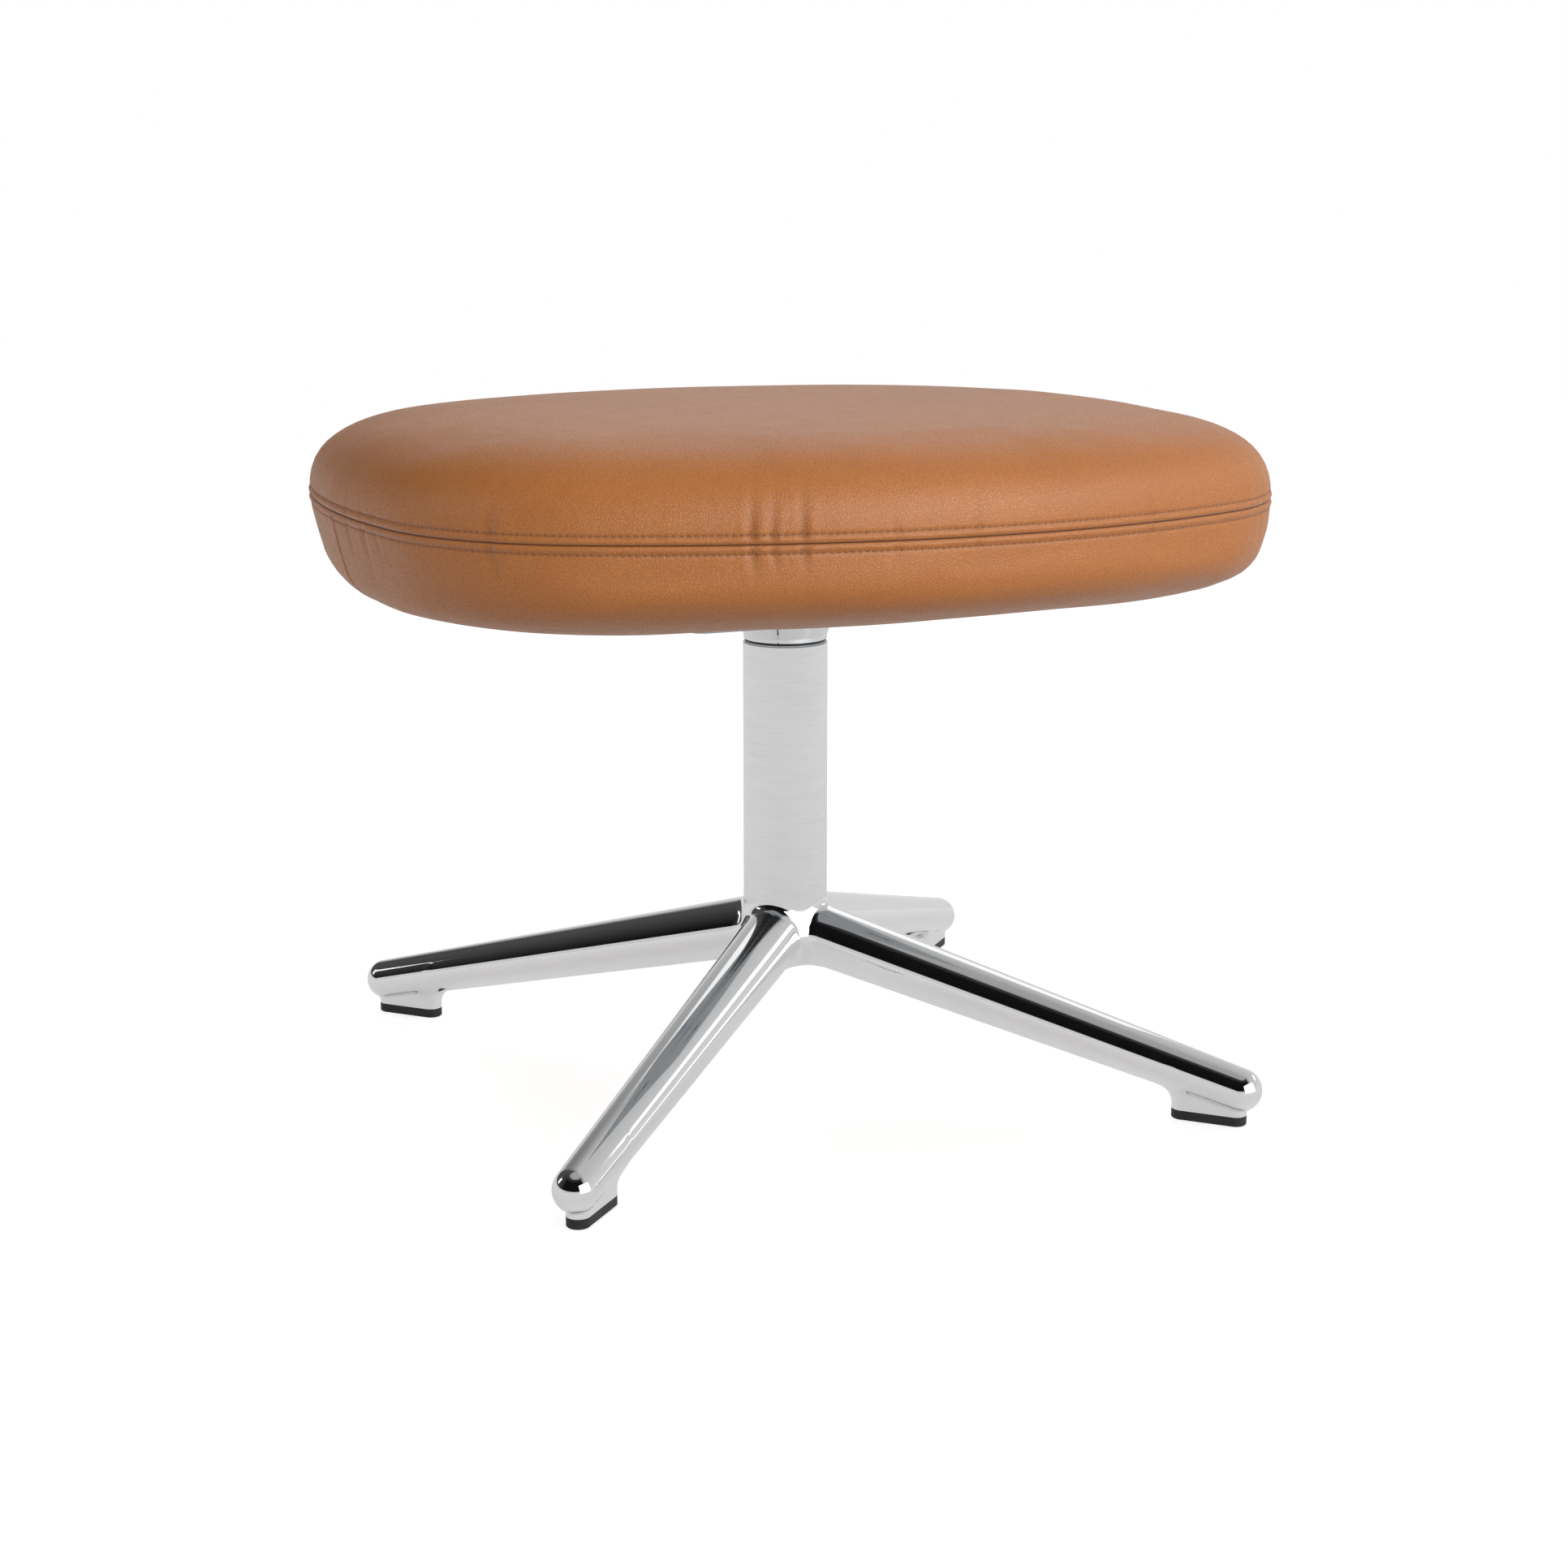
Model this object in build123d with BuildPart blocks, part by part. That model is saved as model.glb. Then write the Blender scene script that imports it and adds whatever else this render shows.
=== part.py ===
"""Swivel footstool: a crowned leather cushion on one column with a four-star cast base.

Frame: origin on the floor under the column, +Z up, +X along the cushion's long axis.
All sizes are in millimetres.
"""
from build123d import *
import os
from math import cos, hypot, radians, sin, sqrt

os.makedirs("parts", exist_ok=True)

# ---- driving dimensions -------------------------------------------------------------
FIT = 0.05                      # radial gap of a fixed fit
RUNNING_FIT = 0.08              # radial gap between the spindle and its bushings
CLEAR = 0.3                     # gap between faces that move past each other

# four legs, each a straight taper ended by a ball
LEG_ANGLES = (45, 135, 225, 315)
LEG_ROOT_HEIGHT = 90.3          # leg axis over the floor, on the column's axis
LEG_ROOT_RADIUS = 18.9
LEG_END_REACH = 280.3           # centre of the ball, from the column's axis
LEG_END_HEIGHT = 20.6
LEG_END_RADIUS = 12.4

# foot under each leg: a cast neck on a black glide, both of one slot-shaped outline
GLIDE_REACH = 262.7
GLIDE_LENGTH = 43.6
GLIDE_WIDTH = 13.2
GLIDE_HEIGHT = 5.75
GLIDE_EDGE = 0.6
NECK_TOP = 22.0
GLIDE_SCREW_SPACING = 22.0
GLIDE_SCREW_RADIUS = 1.75
GLIDE_SCREW_HEAD_RADIUS = 3.2
GLIDE_SCREW_RECESS = 1.6        # the head stands this far above the floor
GLIDE_SCREW_HEAD_HEIGHT = 2.2
GLIDE_SCREW_TOP = 16.0

# hub where the legs meet
HUB_RADIUS = 28.0
HUB_BOTTOM = 69.0
SOCKET_FLOOR = 84.0
SOCKET_RIM = 100.0
RIM_RADIUS = 26.6
BOLT_RECESS_RADIUS = 13.0
BOLT_RECESS_TOP = 77.5
BOLT_RECESS_MOUTH = 60.0        # below the lowest leg root

# column
COLUMN_RADIUS = 25.0
COLUMN_WALL = 2.5
COLUMN_TOP = 262.0
COLUMN_CHAMFER = 1.0
COLUMN_BORE = COLUMN_RADIUS - COLUMN_WALL
PLUG_HEIGHT = 22.0
PLUG_CHAMFER = 1.0

# central bolt that draws the column into the hub
BOLT_RADIUS = 6.0
BOLT_HEAD_RADIUS = 9.0
BOLT_HEAD_HEIGHT = 5.5
BOLT_HEAD_CHAMFER = 0.6
BOLT_KEY_WIDTH = 8.0
BOLT_KEY_DEPTH = 3.0
BOLT_END = 101.0
BOLT_END_CHAMFER = 1.0
BOLT_WASHER_RADIUS = 12.0
BOLT_WASHER_THICKNESS = 1.6
BOLT_HOLE_RADIUS = 6.2

# swivel bearing
SPINDLE_RADIUS = 15.0
SPINDLE_BOTTOM = 150.0
SPINDLE_CHAMFER = 1.5
LOWER_BUSHING_BOTTOM = 168.0
LOWER_BUSHING_LENGTH = 20.0
UPPER_BUSHING_LENGTH = 24.0
BUSHING_CHAMFER = 0.8
BUSHING_FLANGE_RADIUS = 24.0
BUSHING_FLANGE_THICKNESS = 1.2
THRUST_WASHER_RADIUS = 21.6
THRUST_WASHER_THICKNESS = 1.0
SHOULDER_RADIUS = 21.6
SHOULDER_HEIGHT = 8.0
RETAINER_GROOVE_RADIUS = 13.6
RETAINER_RADIUS = 17.6
RETAINER_THICKNESS = 1.5
RETAINER_GAP_WIDTH = 7.0
SPINDLE_WASHER_RADIUS = 20.5
SPINDLE_WASHER_THICKNESS = 1.5

# flared collar between the column and the mounting plate
COLLAR_BOTTOM = 263.5
COLLAR_FOOT_RADIUS = 24.7
COLLAR_FOOT_HEIGHT = 2.2
COLLAR_TOP_RADIUS = 31.5
COLLAR_WALL = 1.8
COLLAR_SLOT_WIDTH = 0.8
COLLAR_SLOT_BOTTOM = 268.6
COLLAR_SLOT_ANGLE = -122.0
COLLAR_NOTCH_HEIGHT = 0.6

# mounting plate under the seat
PLATE_SIZE = 186.0
PLATE_BOTTOM = 285.0
PLATE_THICKNESS = 5.0
PLATE_CORNER = 10.0
PLATE_EDGE = 0.8
SCREW_SPACING = 96.0
SCREW_RADIUS = 4.0
SCREW_HOLE_RADIUS = 4.2
SCREW_HEAD_RADIUS = 7.0
SCREW_HEAD_HEIGHT = 4.4
SCREW_KEY_WIDTH = 5.0
SCREW_KEY_DEPTH = 2.6
SCREW_WASHER_RADIUS = 8.5
SCREW_WASHER_THICKNESS = 1.6
SCREW_END_DEPTH = 1.0           # the screw stops this far below the board's upper face
TEE_NUT_RADIUS = 5.5
TEE_NUT_FLANGE_RADIUS = 11.0
TEE_NUT_FLANGE_THICKNESS = 1.5
TEE_NUT_LENGTH = 9.0

# cushion plan: four long arcs joined by four corner arcs, all tangent
HALF_LENGTH = 266.7
HALF_DEPTH = 232.5
SIDE_RADIUS = 425.0
END_RADIUS = 515.0
CORNER_RADIUS = 135.0

# cushion height: crown over the seam, bowl under it
SEAM_HEIGHT = 350.0
CROWN_RISE = 50.2
CROWN_FLATNESS = 6.6
CROWN_SHOULDER = 2.5
CROWN_SCALES = (1.0, 0.99, 0.97, 0.94, 0.88, 0.8, 0.65, 0.4)
BOWL_DROP = 53.0
BOWL_LENGTH_INSET = 75.0
BOWL_DEPTH_INSET = 66.0
BOWL_END_POWER = 1.22
BOWL_END_SHOULDER = 8.0
BOWL_SIDE_POWER = 5.25
BOWL_STEPS = (0.0, 0.3, 0.5, 0.68, 0.8, 0.9, 0.96, 1.0)
UNDERSIDE_LENGTH_INSET = 105.0
UNDERSIDE_DEPTH_INSET = 100.0

# layers of the seat, from the plate up
LEATHER = 1.6
DUST_COVER_THICKNESS = 0.8
BOARD_THICKNESS = 12.0
BOARD_LENGTH_INSET = 108.0
BOARD_DEPTH_INSET = 103.0
HEM_WIDTH = 26.0
DUST_COVER_MARGIN = 8.0
STAPLE_COUNT = 36
STAPLE_WIDTH = 10.0
STAPLE_WIRE = 0.8
STAPLE_MARGIN = 16.0
STAPLE_DEPTH = 6.0

# ---- heights worked out from the above ----------------------------------------------
PLATE_TOP = PLATE_BOTTOM + PLATE_THICKNESS
HEM_BOTTOM = PLATE_TOP + DUST_COVER_THICKNESS
BOARD_BOTTOM = HEM_BOTTOM + LEATHER
BOARD_TOP = BOARD_BOTTOM + BOARD_THICKNESS
FLANGE_TOP = COLUMN_TOP + BUSHING_FLANGE_THICKNESS
THRUST_TOP = FLANGE_TOP + THRUST_WASHER_THICKNESS
SHOULDER_BOTTOM = THRUST_TOP + CLEAR
SHOULDER_TOP = SHOULDER_BOTTOM + SHOULDER_HEIGHT
BUSHING_BORE = SPINDLE_RADIUS + RUNNING_FIT
WASHER_TOP = LOWER_BUSHING_BOTTOM - CLEAR
WASHER_BOTTOM = WASHER_TOP - SPINDLE_WASHER_THICKNESS
GROOVE_BOTTOM = WASHER_BOTTOM - RETAINER_THICKNESS


# ---- shared shapes ------------------------------------------------------------------
def leg_plane(angle):
    """Plane on a leg's root, its normal along the leg's axis, out and down."""
    drop = LEG_END_HEIGHT - LEG_ROOT_HEIGHT
    along = (LEG_END_REACH * cos(radians(angle)), LEG_END_REACH * sin(radians(angle)), drop)
    across = (-sin(radians(angle)), cos(radians(angle)), 0)
    return Plane(origin=(0, 0, LEG_ROOT_HEIGHT), x_dir=across, z_dir=along)


def foot_plane(angle, height):
    """Level plane over a glide's centre, with X along the leg."""
    centre = (GLIDE_REACH * cos(radians(angle)), GLIDE_REACH * sin(radians(angle)), height)
    return Plane(origin=centre, x_dir=(cos(radians(angle)), sin(radians(angle)), 0), z_dir=(0, 0, 1))


def disc(radius, bottom, height, mode=Mode.ADD):
    """Upright cylinder on the column's axis, or its cut."""
    with BuildSketch(Plane.XY.offset(bottom)) as face:
        Circle(radius)
    extrude(face.sketch, amount=height, mode=mode)


def plan_outline(half_length, half_depth, scale):
    """Cushion plan in the active sketch: eight tangent arcs, as a face.

    The corner arc's centre lies on the circles that keep it tangent to the side arc
    and to the end arc; the far one of their two crossings is the corner's.
    """
    side = SIDE_RADIUS * scale
    end = END_RADIUS * scale
    corner = CORNER_RADIUS * scale
    side_centre = Vector(0, half_depth - side)
    end_centre = Vector(half_length - end, 0)
    apart = end_centre - side_centre
    distance = apart.length
    to_side = side - corner
    to_end = end - corner
    along = (to_side**2 - to_end**2 + distance**2) / (2 * distance)
    across = sqrt(to_side**2 - along**2)
    unit = apart / distance
    normal = Vector(-unit.Y, unit.X)
    crossings = [side_centre + unit * along + normal * sign * across for sign in (1, -1)]
    corner_centre = max(crossings, key=lambda point: point.X + point.Y)
    side_touch = side_centre + (corner_centre - side_centre).normalized() * side
    end_touch = end_centre + (corner_centre - end_centre).normalized() * end
    middle = ((side_touch + end_touch) / 2 - corner_centre).normalized() * corner
    corner_middle = corner_centre + middle
    for x_sign, y_sign in ((1, 1), (1, -1), (-1, -1), (-1, 1)):
        flip = Vector(x_sign, y_sign)
        turn = x_sign * y_sign
        points = [side_touch, corner_middle, end_touch]
        placed = [Vector(point.X * flip.X, point.Y * flip.Y) for point in points]
        start, middle_point, stop = placed[::turn]
        ThreePointArc(start, middle_point, stop)
        if turn > 0:
            ThreePointArc(stop, (half_length * x_sign, 0), (stop.X, -stop.Y))
        else:
            ThreePointArc(stop, (0, half_depth * y_sign), (-stop.X, stop.Y))


def plan_face(height, length_inset, depth_inset):
    """Cushion plan at a height, inset from the seam's outline."""
    half_length = HALF_LENGTH - length_inset
    half_depth = HALF_DEPTH - depth_inset
    scale = (half_length / HALF_LENGTH + half_depth / HALF_DEPTH) / 2
    with BuildSketch(Plane.XY.offset(height)) as plan:
        with BuildLine():
            plan_outline(half_length, half_depth, scale)
        make_face()
    return plan.sketch


def crown(inset, mode=Mode.ADD):
    """Crowned top of the cushion, every face moved inwards by inset."""
    sections = []
    for scale in CROWN_SCALES:
        rise = (1 - scale**CROWN_FLATNESS) ** (1 / CROWN_SHOULDER)
        height = SEAM_HEIGHT + (CROWN_RISE - inset) * rise
        length_inset = HALF_LENGTH * (1 - scale) + inset * scale
        depth_inset = HALF_DEPTH * (1 - scale) + inset * scale
        sections += plan_face(height, length_inset, depth_inset).faces()
    loft(sections, ruled=True, mode=mode)


def bowl(inset, bottom, mode=Mode.ADD):
    """Rounded underside of the cushion down to a flat bottom, moved inwards by inset."""
    sections = []
    for step in BOWL_STEPS:
        length_share = 1 - (1 - step**BOWL_END_POWER) ** (1 / BOWL_END_SHOULDER)
        height = SEAM_HEIGHT - (BOWL_DROP - inset) * step
        length_inset = BOWL_LENGTH_INSET * length_share + inset
        depth_inset = BOWL_DEPTH_INSET * step**BOWL_SIDE_POWER + inset
        sections += plan_face(height, length_inset, depth_inset).faces()
    length_inset = UNDERSIDE_LENGTH_INSET + inset
    depth_inset = UNDERSIDE_DEPTH_INSET + inset
    sections += plan_face(bottom, length_inset, depth_inset).faces()
    loft(sections, ruled=True, mode=mode)


def board_slab(bottom, thickness, margin, mode=Mode.ADD):
    """Slab with the seat board's outline, moved inwards by margin, or its cut."""
    outline = plan_face(bottom, BOARD_LENGTH_INSET + margin, BOARD_DEPTH_INSET + margin)
    extrude(outline, amount=thickness, mode=mode)


# ---- base ---------------------------------------------------------------------------
leg_length = hypot(LEG_END_REACH, LEG_ROOT_HEIGHT - LEG_END_HEIGHT)

with BuildPart() as star_base:
    for leg_angle in LEG_ANGLES:
        root = leg_plane(leg_angle)
        with Locations(root):
            Cone(
                LEG_ROOT_RADIUS,
                LEG_END_RADIUS,
                leg_length,
                align=(Align.CENTER, Align.CENTER, Align.MIN),
            )
        with Locations(root.offset(leg_length)):
            Sphere(LEG_END_RADIUS)
        with BuildSketch(foot_plane(leg_angle, GLIDE_HEIGHT)):
            SlotOverall(GLIDE_LENGTH, GLIDE_WIDTH)
        extrude(amount=NECK_TOP - GLIDE_HEIGHT)
    disc(HUB_RADIUS, HUB_BOTTOM, LEG_ROOT_HEIGHT - HUB_BOTTOM)
    disc(RIM_RADIUS, LEG_ROOT_HEIGHT, SOCKET_RIM - LEG_ROOT_HEIGHT)
    disc(COLUMN_RADIUS + FIT, SOCKET_FLOOR, 2 * LEG_ROOT_RADIUS, mode=Mode.SUBTRACT)
    recess_depth = BOLT_RECESS_TOP - BOLT_RECESS_MOUTH
    disc(BOLT_RECESS_RADIUS, BOLT_RECESS_MOUTH, recess_depth, mode=Mode.SUBTRACT)
    disc(BOLT_HOLE_RADIUS, HUB_BOTTOM, SOCKET_FLOOR - HUB_BOTTOM, mode=Mode.SUBTRACT)
    for leg_angle in LEG_ANGLES:
        with BuildSketch(foot_plane(leg_angle, GLIDE_HEIGHT)):
            with GridLocations(GLIDE_SCREW_SPACING, 0, 2, 1):
                Circle(GLIDE_SCREW_RADIUS)
        extrude(amount=GLIDE_SCREW_TOP - GLIDE_HEIGHT, mode=Mode.SUBTRACT)
star_base.part.label = "star_base"
export_step(star_base.part, "parts/star_base.step")

for number, leg_angle in enumerate(LEG_ANGLES, start=1):
    with BuildPart() as foot_glide:
        with BuildSketch(foot_plane(leg_angle, 0)):
            SlotOverall(GLIDE_LENGTH, GLIDE_WIDTH)
        extrude(amount=GLIDE_HEIGHT)
        chamfer(foot_glide.faces().sort_by(Axis.Z)[0].edges(), GLIDE_EDGE)
        with Locations(foot_plane(leg_angle, GLIDE_HEIGHT)):
            with GridLocations(GLIDE_SCREW_SPACING, 0, 2, 1):
                Hole(GLIDE_SCREW_RADIUS + FIT, GLIDE_HEIGHT)
        with BuildSketch(foot_plane(leg_angle, 0)):
            with GridLocations(GLIDE_SCREW_SPACING, 0, 2, 1):
                Circle(GLIDE_SCREW_HEAD_RADIUS + FIT)
        extrude(amount=GLIDE_SCREW_RECESS + GLIDE_SCREW_HEAD_HEIGHT, mode=Mode.SUBTRACT)
    foot_glide.part.label = f"foot_glide_{number}"
    export_step(foot_glide.part, f"parts/foot_glide_{number}.step")

with BuildPart() as glide_screws:
    for leg_angle in LEG_ANGLES:
        with BuildSketch(foot_plane(leg_angle, GLIDE_SCREW_RECESS)):
            with GridLocations(GLIDE_SCREW_SPACING, 0, 2, 1):
                Circle(GLIDE_SCREW_HEAD_RADIUS)
        extrude(amount=GLIDE_SCREW_HEAD_HEIGHT)
        with BuildSketch(foot_plane(leg_angle, GLIDE_SCREW_RECESS)):
            with GridLocations(GLIDE_SCREW_SPACING, 0, 2, 1):
                Circle(GLIDE_SCREW_RADIUS)
        extrude(amount=GLIDE_SCREW_TOP - GLIDE_SCREW_RECESS)
glide_screws.part.label = "glide_screws"
export_step(glide_screws.part, "parts/glide_screws.step")

with BuildPart() as column_tube:
    disc(COLUMN_RADIUS, SOCKET_FLOOR, COLUMN_TOP - SOCKET_FLOOR)
    outer_rim = column_tube.edges().filter_by(GeomType.CIRCLE).sort_by(Axis.Z)[-1]
    chamfer(outer_rim, COLUMN_CHAMFER)
    disc(COLUMN_BORE, SOCKET_FLOOR, COLUMN_TOP - SOCKET_FLOOR, mode=Mode.SUBTRACT)
column_tube.part.label = "column_tube"
export_step(column_tube.part, "parts/column_tube.step")

with BuildPart() as column_plug:
    disc(COLUMN_BORE - FIT, SOCKET_FLOOR, PLUG_HEIGHT)
    chamfer(column_plug.edges().filter_by(GeomType.CIRCLE), PLUG_CHAMFER)
    disc(BOLT_RADIUS + FIT, SOCKET_FLOOR, PLUG_HEIGHT, mode=Mode.SUBTRACT)
column_plug.part.label = "column_plug"
export_step(column_plug.part, "parts/column_plug.step")

head_top = BOLT_RECESS_TOP - BOLT_WASHER_THICKNESS
with BuildPart() as base_bolt:
    disc(BOLT_HEAD_RADIUS, head_top - BOLT_HEAD_HEIGHT, BOLT_HEAD_HEIGHT)
    chamfer(base_bolt.edges().sort_by(Axis.Z)[0], BOLT_HEAD_CHAMFER)
    disc(BOLT_RADIUS, head_top, BOLT_END - head_top)
    chamfer(base_bolt.edges().sort_by(Axis.Z)[-1], BOLT_END_CHAMFER)
    with BuildSketch(Plane.XY.offset(head_top - BOLT_HEAD_HEIGHT)):
        RegularPolygon(BOLT_KEY_WIDTH / 2, 6, major_radius=False)
    extrude(amount=BOLT_KEY_DEPTH, mode=Mode.SUBTRACT)
base_bolt.part.label = "base_bolt"
export_step(base_bolt.part, "parts/base_bolt.step")

with BuildPart() as base_washer:
    disc(BOLT_WASHER_RADIUS, head_top, BOLT_WASHER_THICKNESS)
    disc(BOLT_HOLE_RADIUS, head_top, BOLT_WASHER_THICKNESS, mode=Mode.SUBTRACT)
base_washer.part.label = "base_washer"
export_step(base_washer.part, "parts/base_washer.step")

with BuildPart() as lower_bushing:
    disc(COLUMN_BORE - FIT, LOWER_BUSHING_BOTTOM, LOWER_BUSHING_LENGTH)
    chamfer(lower_bushing.edges().filter_by(GeomType.CIRCLE), BUSHING_CHAMFER)
    disc(BUSHING_BORE, LOWER_BUSHING_BOTTOM, LOWER_BUSHING_LENGTH, mode=Mode.SUBTRACT)
lower_bushing.part.label = "lower_bushing"
export_step(lower_bushing.part, "parts/lower_bushing.step")

with BuildPart() as upper_bushing:
    disc(COLUMN_BORE - FIT, COLUMN_TOP - UPPER_BUSHING_LENGTH, UPPER_BUSHING_LENGTH)
    disc(BUSHING_FLANGE_RADIUS, COLUMN_TOP, BUSHING_FLANGE_THICKNESS)
    disc(BUSHING_BORE, COLUMN_TOP - UPPER_BUSHING_LENGTH, 2 * UPPER_BUSHING_LENGTH, mode=Mode.SUBTRACT)
upper_bushing.part.label = "upper_bushing"
export_step(upper_bushing.part, "parts/upper_bushing.step")

with BuildPart() as thrust_washer:
    disc(THRUST_WASHER_RADIUS, FLANGE_TOP, THRUST_WASHER_THICKNESS)
    disc(BUSHING_BORE, FLANGE_TOP, THRUST_WASHER_THICKNESS, mode=Mode.SUBTRACT)
thrust_washer.part.label = "thrust_washer"
export_step(thrust_washer.part, "parts/thrust_washer.step")

# ---- swivel, turning with the seat --------------------------------------------------
with BuildPart() as spindle:
    disc(SPINDLE_RADIUS, SPINDLE_BOTTOM, PLATE_TOP - SPINDLE_BOTTOM)
    chamfer(spindle.edges().sort_by(Axis.Z)[0], SPINDLE_CHAMFER)
    disc(SHOULDER_RADIUS, SHOULDER_BOTTOM, SHOULDER_HEIGHT)
    with BuildSketch(Plane.XY.offset(GROOVE_BOTTOM)):
        Circle(SPINDLE_RADIUS)
        Circle(RETAINER_GROOVE_RADIUS, mode=Mode.SUBTRACT)
    extrude(amount=RETAINER_THICKNESS, mode=Mode.SUBTRACT)
spindle.part.label = "spindle"
export_step(spindle.part, "parts/spindle.step")

with BuildPart() as retaining_ring:
    with BuildSketch(Plane.XY.offset(GROOVE_BOTTOM)):
        Circle(RETAINER_RADIUS)
        Circle(RETAINER_GROOVE_RADIUS + FIT, mode=Mode.SUBTRACT)
        with Locations((RETAINER_RADIUS, 0)):
            Rectangle(2 * RETAINER_GROOVE_RADIUS, RETAINER_GAP_WIDTH, mode=Mode.SUBTRACT)
    extrude(amount=RETAINER_THICKNESS)
retaining_ring.part.label = "retaining_ring"
export_step(retaining_ring.part, "parts/retaining_ring.step")

with BuildPart() as spindle_washer:
    disc(SPINDLE_WASHER_RADIUS, WASHER_BOTTOM, SPINDLE_WASHER_THICKNESS)
    disc(SPINDLE_RADIUS + FIT, WASHER_BOTTOM, SPINDLE_WASHER_THICKNESS, mode=Mode.SUBTRACT)
spindle_washer.part.label = "spindle_washer"
export_step(spindle_washer.part, "parts/spindle_washer.step")

with BuildPart() as swivel_collar:
    foot_top = COLLAR_BOTTOM + COLLAR_FOOT_HEIGHT
    with BuildSketch(Plane.XZ):
        with BuildLine():
            Polyline(
                (COLLAR_FOOT_RADIUS, COLLAR_BOTTOM),
                (COLLAR_FOOT_RADIUS, foot_top),
                (COLLAR_TOP_RADIUS, PLATE_BOTTOM),
                (COLLAR_TOP_RADIUS - COLLAR_WALL, PLATE_BOTTOM),
                (COLLAR_FOOT_RADIUS, SHOULDER_TOP + COLLAR_WALL),
                (SPINDLE_RADIUS + FIT, SHOULDER_TOP + COLLAR_WALL),
                (SPINDLE_RADIUS + FIT, SHOULDER_TOP),
                (COLLAR_FOOT_RADIUS - COLLAR_WALL, SHOULDER_TOP),
                (COLLAR_FOOT_RADIUS - COLLAR_WALL, COLLAR_BOTTOM),
                close=True,
            )
        make_face()
    revolve(axis=Axis.Z)
    slot_plane = Plane(
        origin=(0, 0, 0),
        x_dir=(-sin(radians(COLLAR_SLOT_ANGLE)), cos(radians(COLLAR_SLOT_ANGLE)), 0),
        z_dir=(cos(radians(COLLAR_SLOT_ANGLE)), sin(radians(COLLAR_SLOT_ANGLE)), 0),
    )
    slot_height = SHOULDER_TOP - COLLAR_SLOT_BOTTOM
    with BuildSketch(slot_plane.offset(SHOULDER_RADIUS)):
        with Locations((0, COLLAR_SLOT_BOTTOM + slot_height / 2)):
            Rectangle(COLLAR_SLOT_WIDTH, slot_height)
        with Locations((0, COLLAR_BOTTOM + COLLAR_NOTCH_HEIGHT / 2)):
            Rectangle(COLLAR_SLOT_WIDTH, COLLAR_NOTCH_HEIGHT)
    extrude(amount=COLLAR_TOP_RADIUS - SHOULDER_RADIUS, mode=Mode.SUBTRACT)
swivel_collar.part.label = "swivel_collar"
export_step(swivel_collar.part, "parts/swivel_collar.step")

# ---- mounting plate and its fasteners -----------------------------------------------
with BuildPart() as mounting_plate:
    with BuildSketch(Plane.XY.offset(PLATE_BOTTOM)):
        RectangleRounded(PLATE_SIZE, PLATE_SIZE, PLATE_CORNER)
        Circle(SPINDLE_RADIUS + FIT, mode=Mode.SUBTRACT)
        with GridLocations(SCREW_SPACING, SCREW_SPACING, 2, 2):
            Circle(SCREW_HOLE_RADIUS, mode=Mode.SUBTRACT)
    extrude(amount=PLATE_THICKNESS)
    lower_rim = mounting_plate.faces().sort_by(Axis.Z)[0].outer_wire().edges()
    chamfer(lower_rim, PLATE_EDGE)
mounting_plate.part.label = "mounting_plate"
export_step(mounting_plate.part, "parts/mounting_plate.step")

screw_head_top = PLATE_BOTTOM - SCREW_WASHER_THICKNESS
screw_end = BOARD_TOP - SCREW_END_DEPTH
with BuildPart() as plate_screws:
    with BuildSketch(Plane.XY.offset(screw_head_top)):
        with GridLocations(SCREW_SPACING, SCREW_SPACING, 2, 2):
            Circle(SCREW_RADIUS)
    extrude(amount=screw_end - screw_head_top)
    with BuildSketch(Plane.XY.offset(screw_head_top)):
        with GridLocations(SCREW_SPACING, SCREW_SPACING, 2, 2):
            Circle(SCREW_HEAD_RADIUS)
    extrude(amount=-SCREW_HEAD_HEIGHT)
    lowest = plate_screws.edges().filter_by(GeomType.CIRCLE).group_by(Axis.Z)[0]
    fillet(lowest, SCREW_HEAD_HEIGHT / 2)
    with BuildSketch(Plane.XY.offset(screw_head_top - SCREW_HEAD_HEIGHT)):
        with GridLocations(SCREW_SPACING, SCREW_SPACING, 2, 2):
            RegularPolygon(SCREW_KEY_WIDTH / 2, 6, major_radius=False)
    extrude(amount=SCREW_KEY_DEPTH, mode=Mode.SUBTRACT)
plate_screws.part.label = "plate_screws"
export_step(plate_screws.part, "parts/plate_screws.step")

with BuildPart() as plate_washers:
    with BuildSketch(Plane.XY.offset(screw_head_top)):
        with GridLocations(SCREW_SPACING, SCREW_SPACING, 2, 2):
            Circle(SCREW_WASHER_RADIUS)
            Circle(SCREW_HOLE_RADIUS, mode=Mode.SUBTRACT)
    extrude(amount=SCREW_WASHER_THICKNESS)
plate_washers.part.label = "plate_washers"
export_step(plate_washers.part, "parts/plate_washers.step")

with BuildPart() as tee_nuts:
    with BuildSketch(Plane.XY.offset(BOARD_TOP - TEE_NUT_LENGTH)):
        with GridLocations(SCREW_SPACING, SCREW_SPACING, 2, 2):
            Circle(TEE_NUT_RADIUS)
    extrude(amount=TEE_NUT_LENGTH)
    with BuildSketch(Plane.XY.offset(BOARD_TOP)):
        with GridLocations(SCREW_SPACING, SCREW_SPACING, 2, 2):
            Circle(TEE_NUT_FLANGE_RADIUS)
    extrude(amount=TEE_NUT_FLANGE_THICKNESS)
    with BuildSketch(Plane.XY.offset(BOARD_TOP - TEE_NUT_LENGTH)):
        with GridLocations(SCREW_SPACING, SCREW_SPACING, 2, 2):
            Circle(SCREW_RADIUS + FIT)
    extrude(amount=TEE_NUT_LENGTH + TEE_NUT_FLANGE_THICKNESS, mode=Mode.SUBTRACT)
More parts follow.
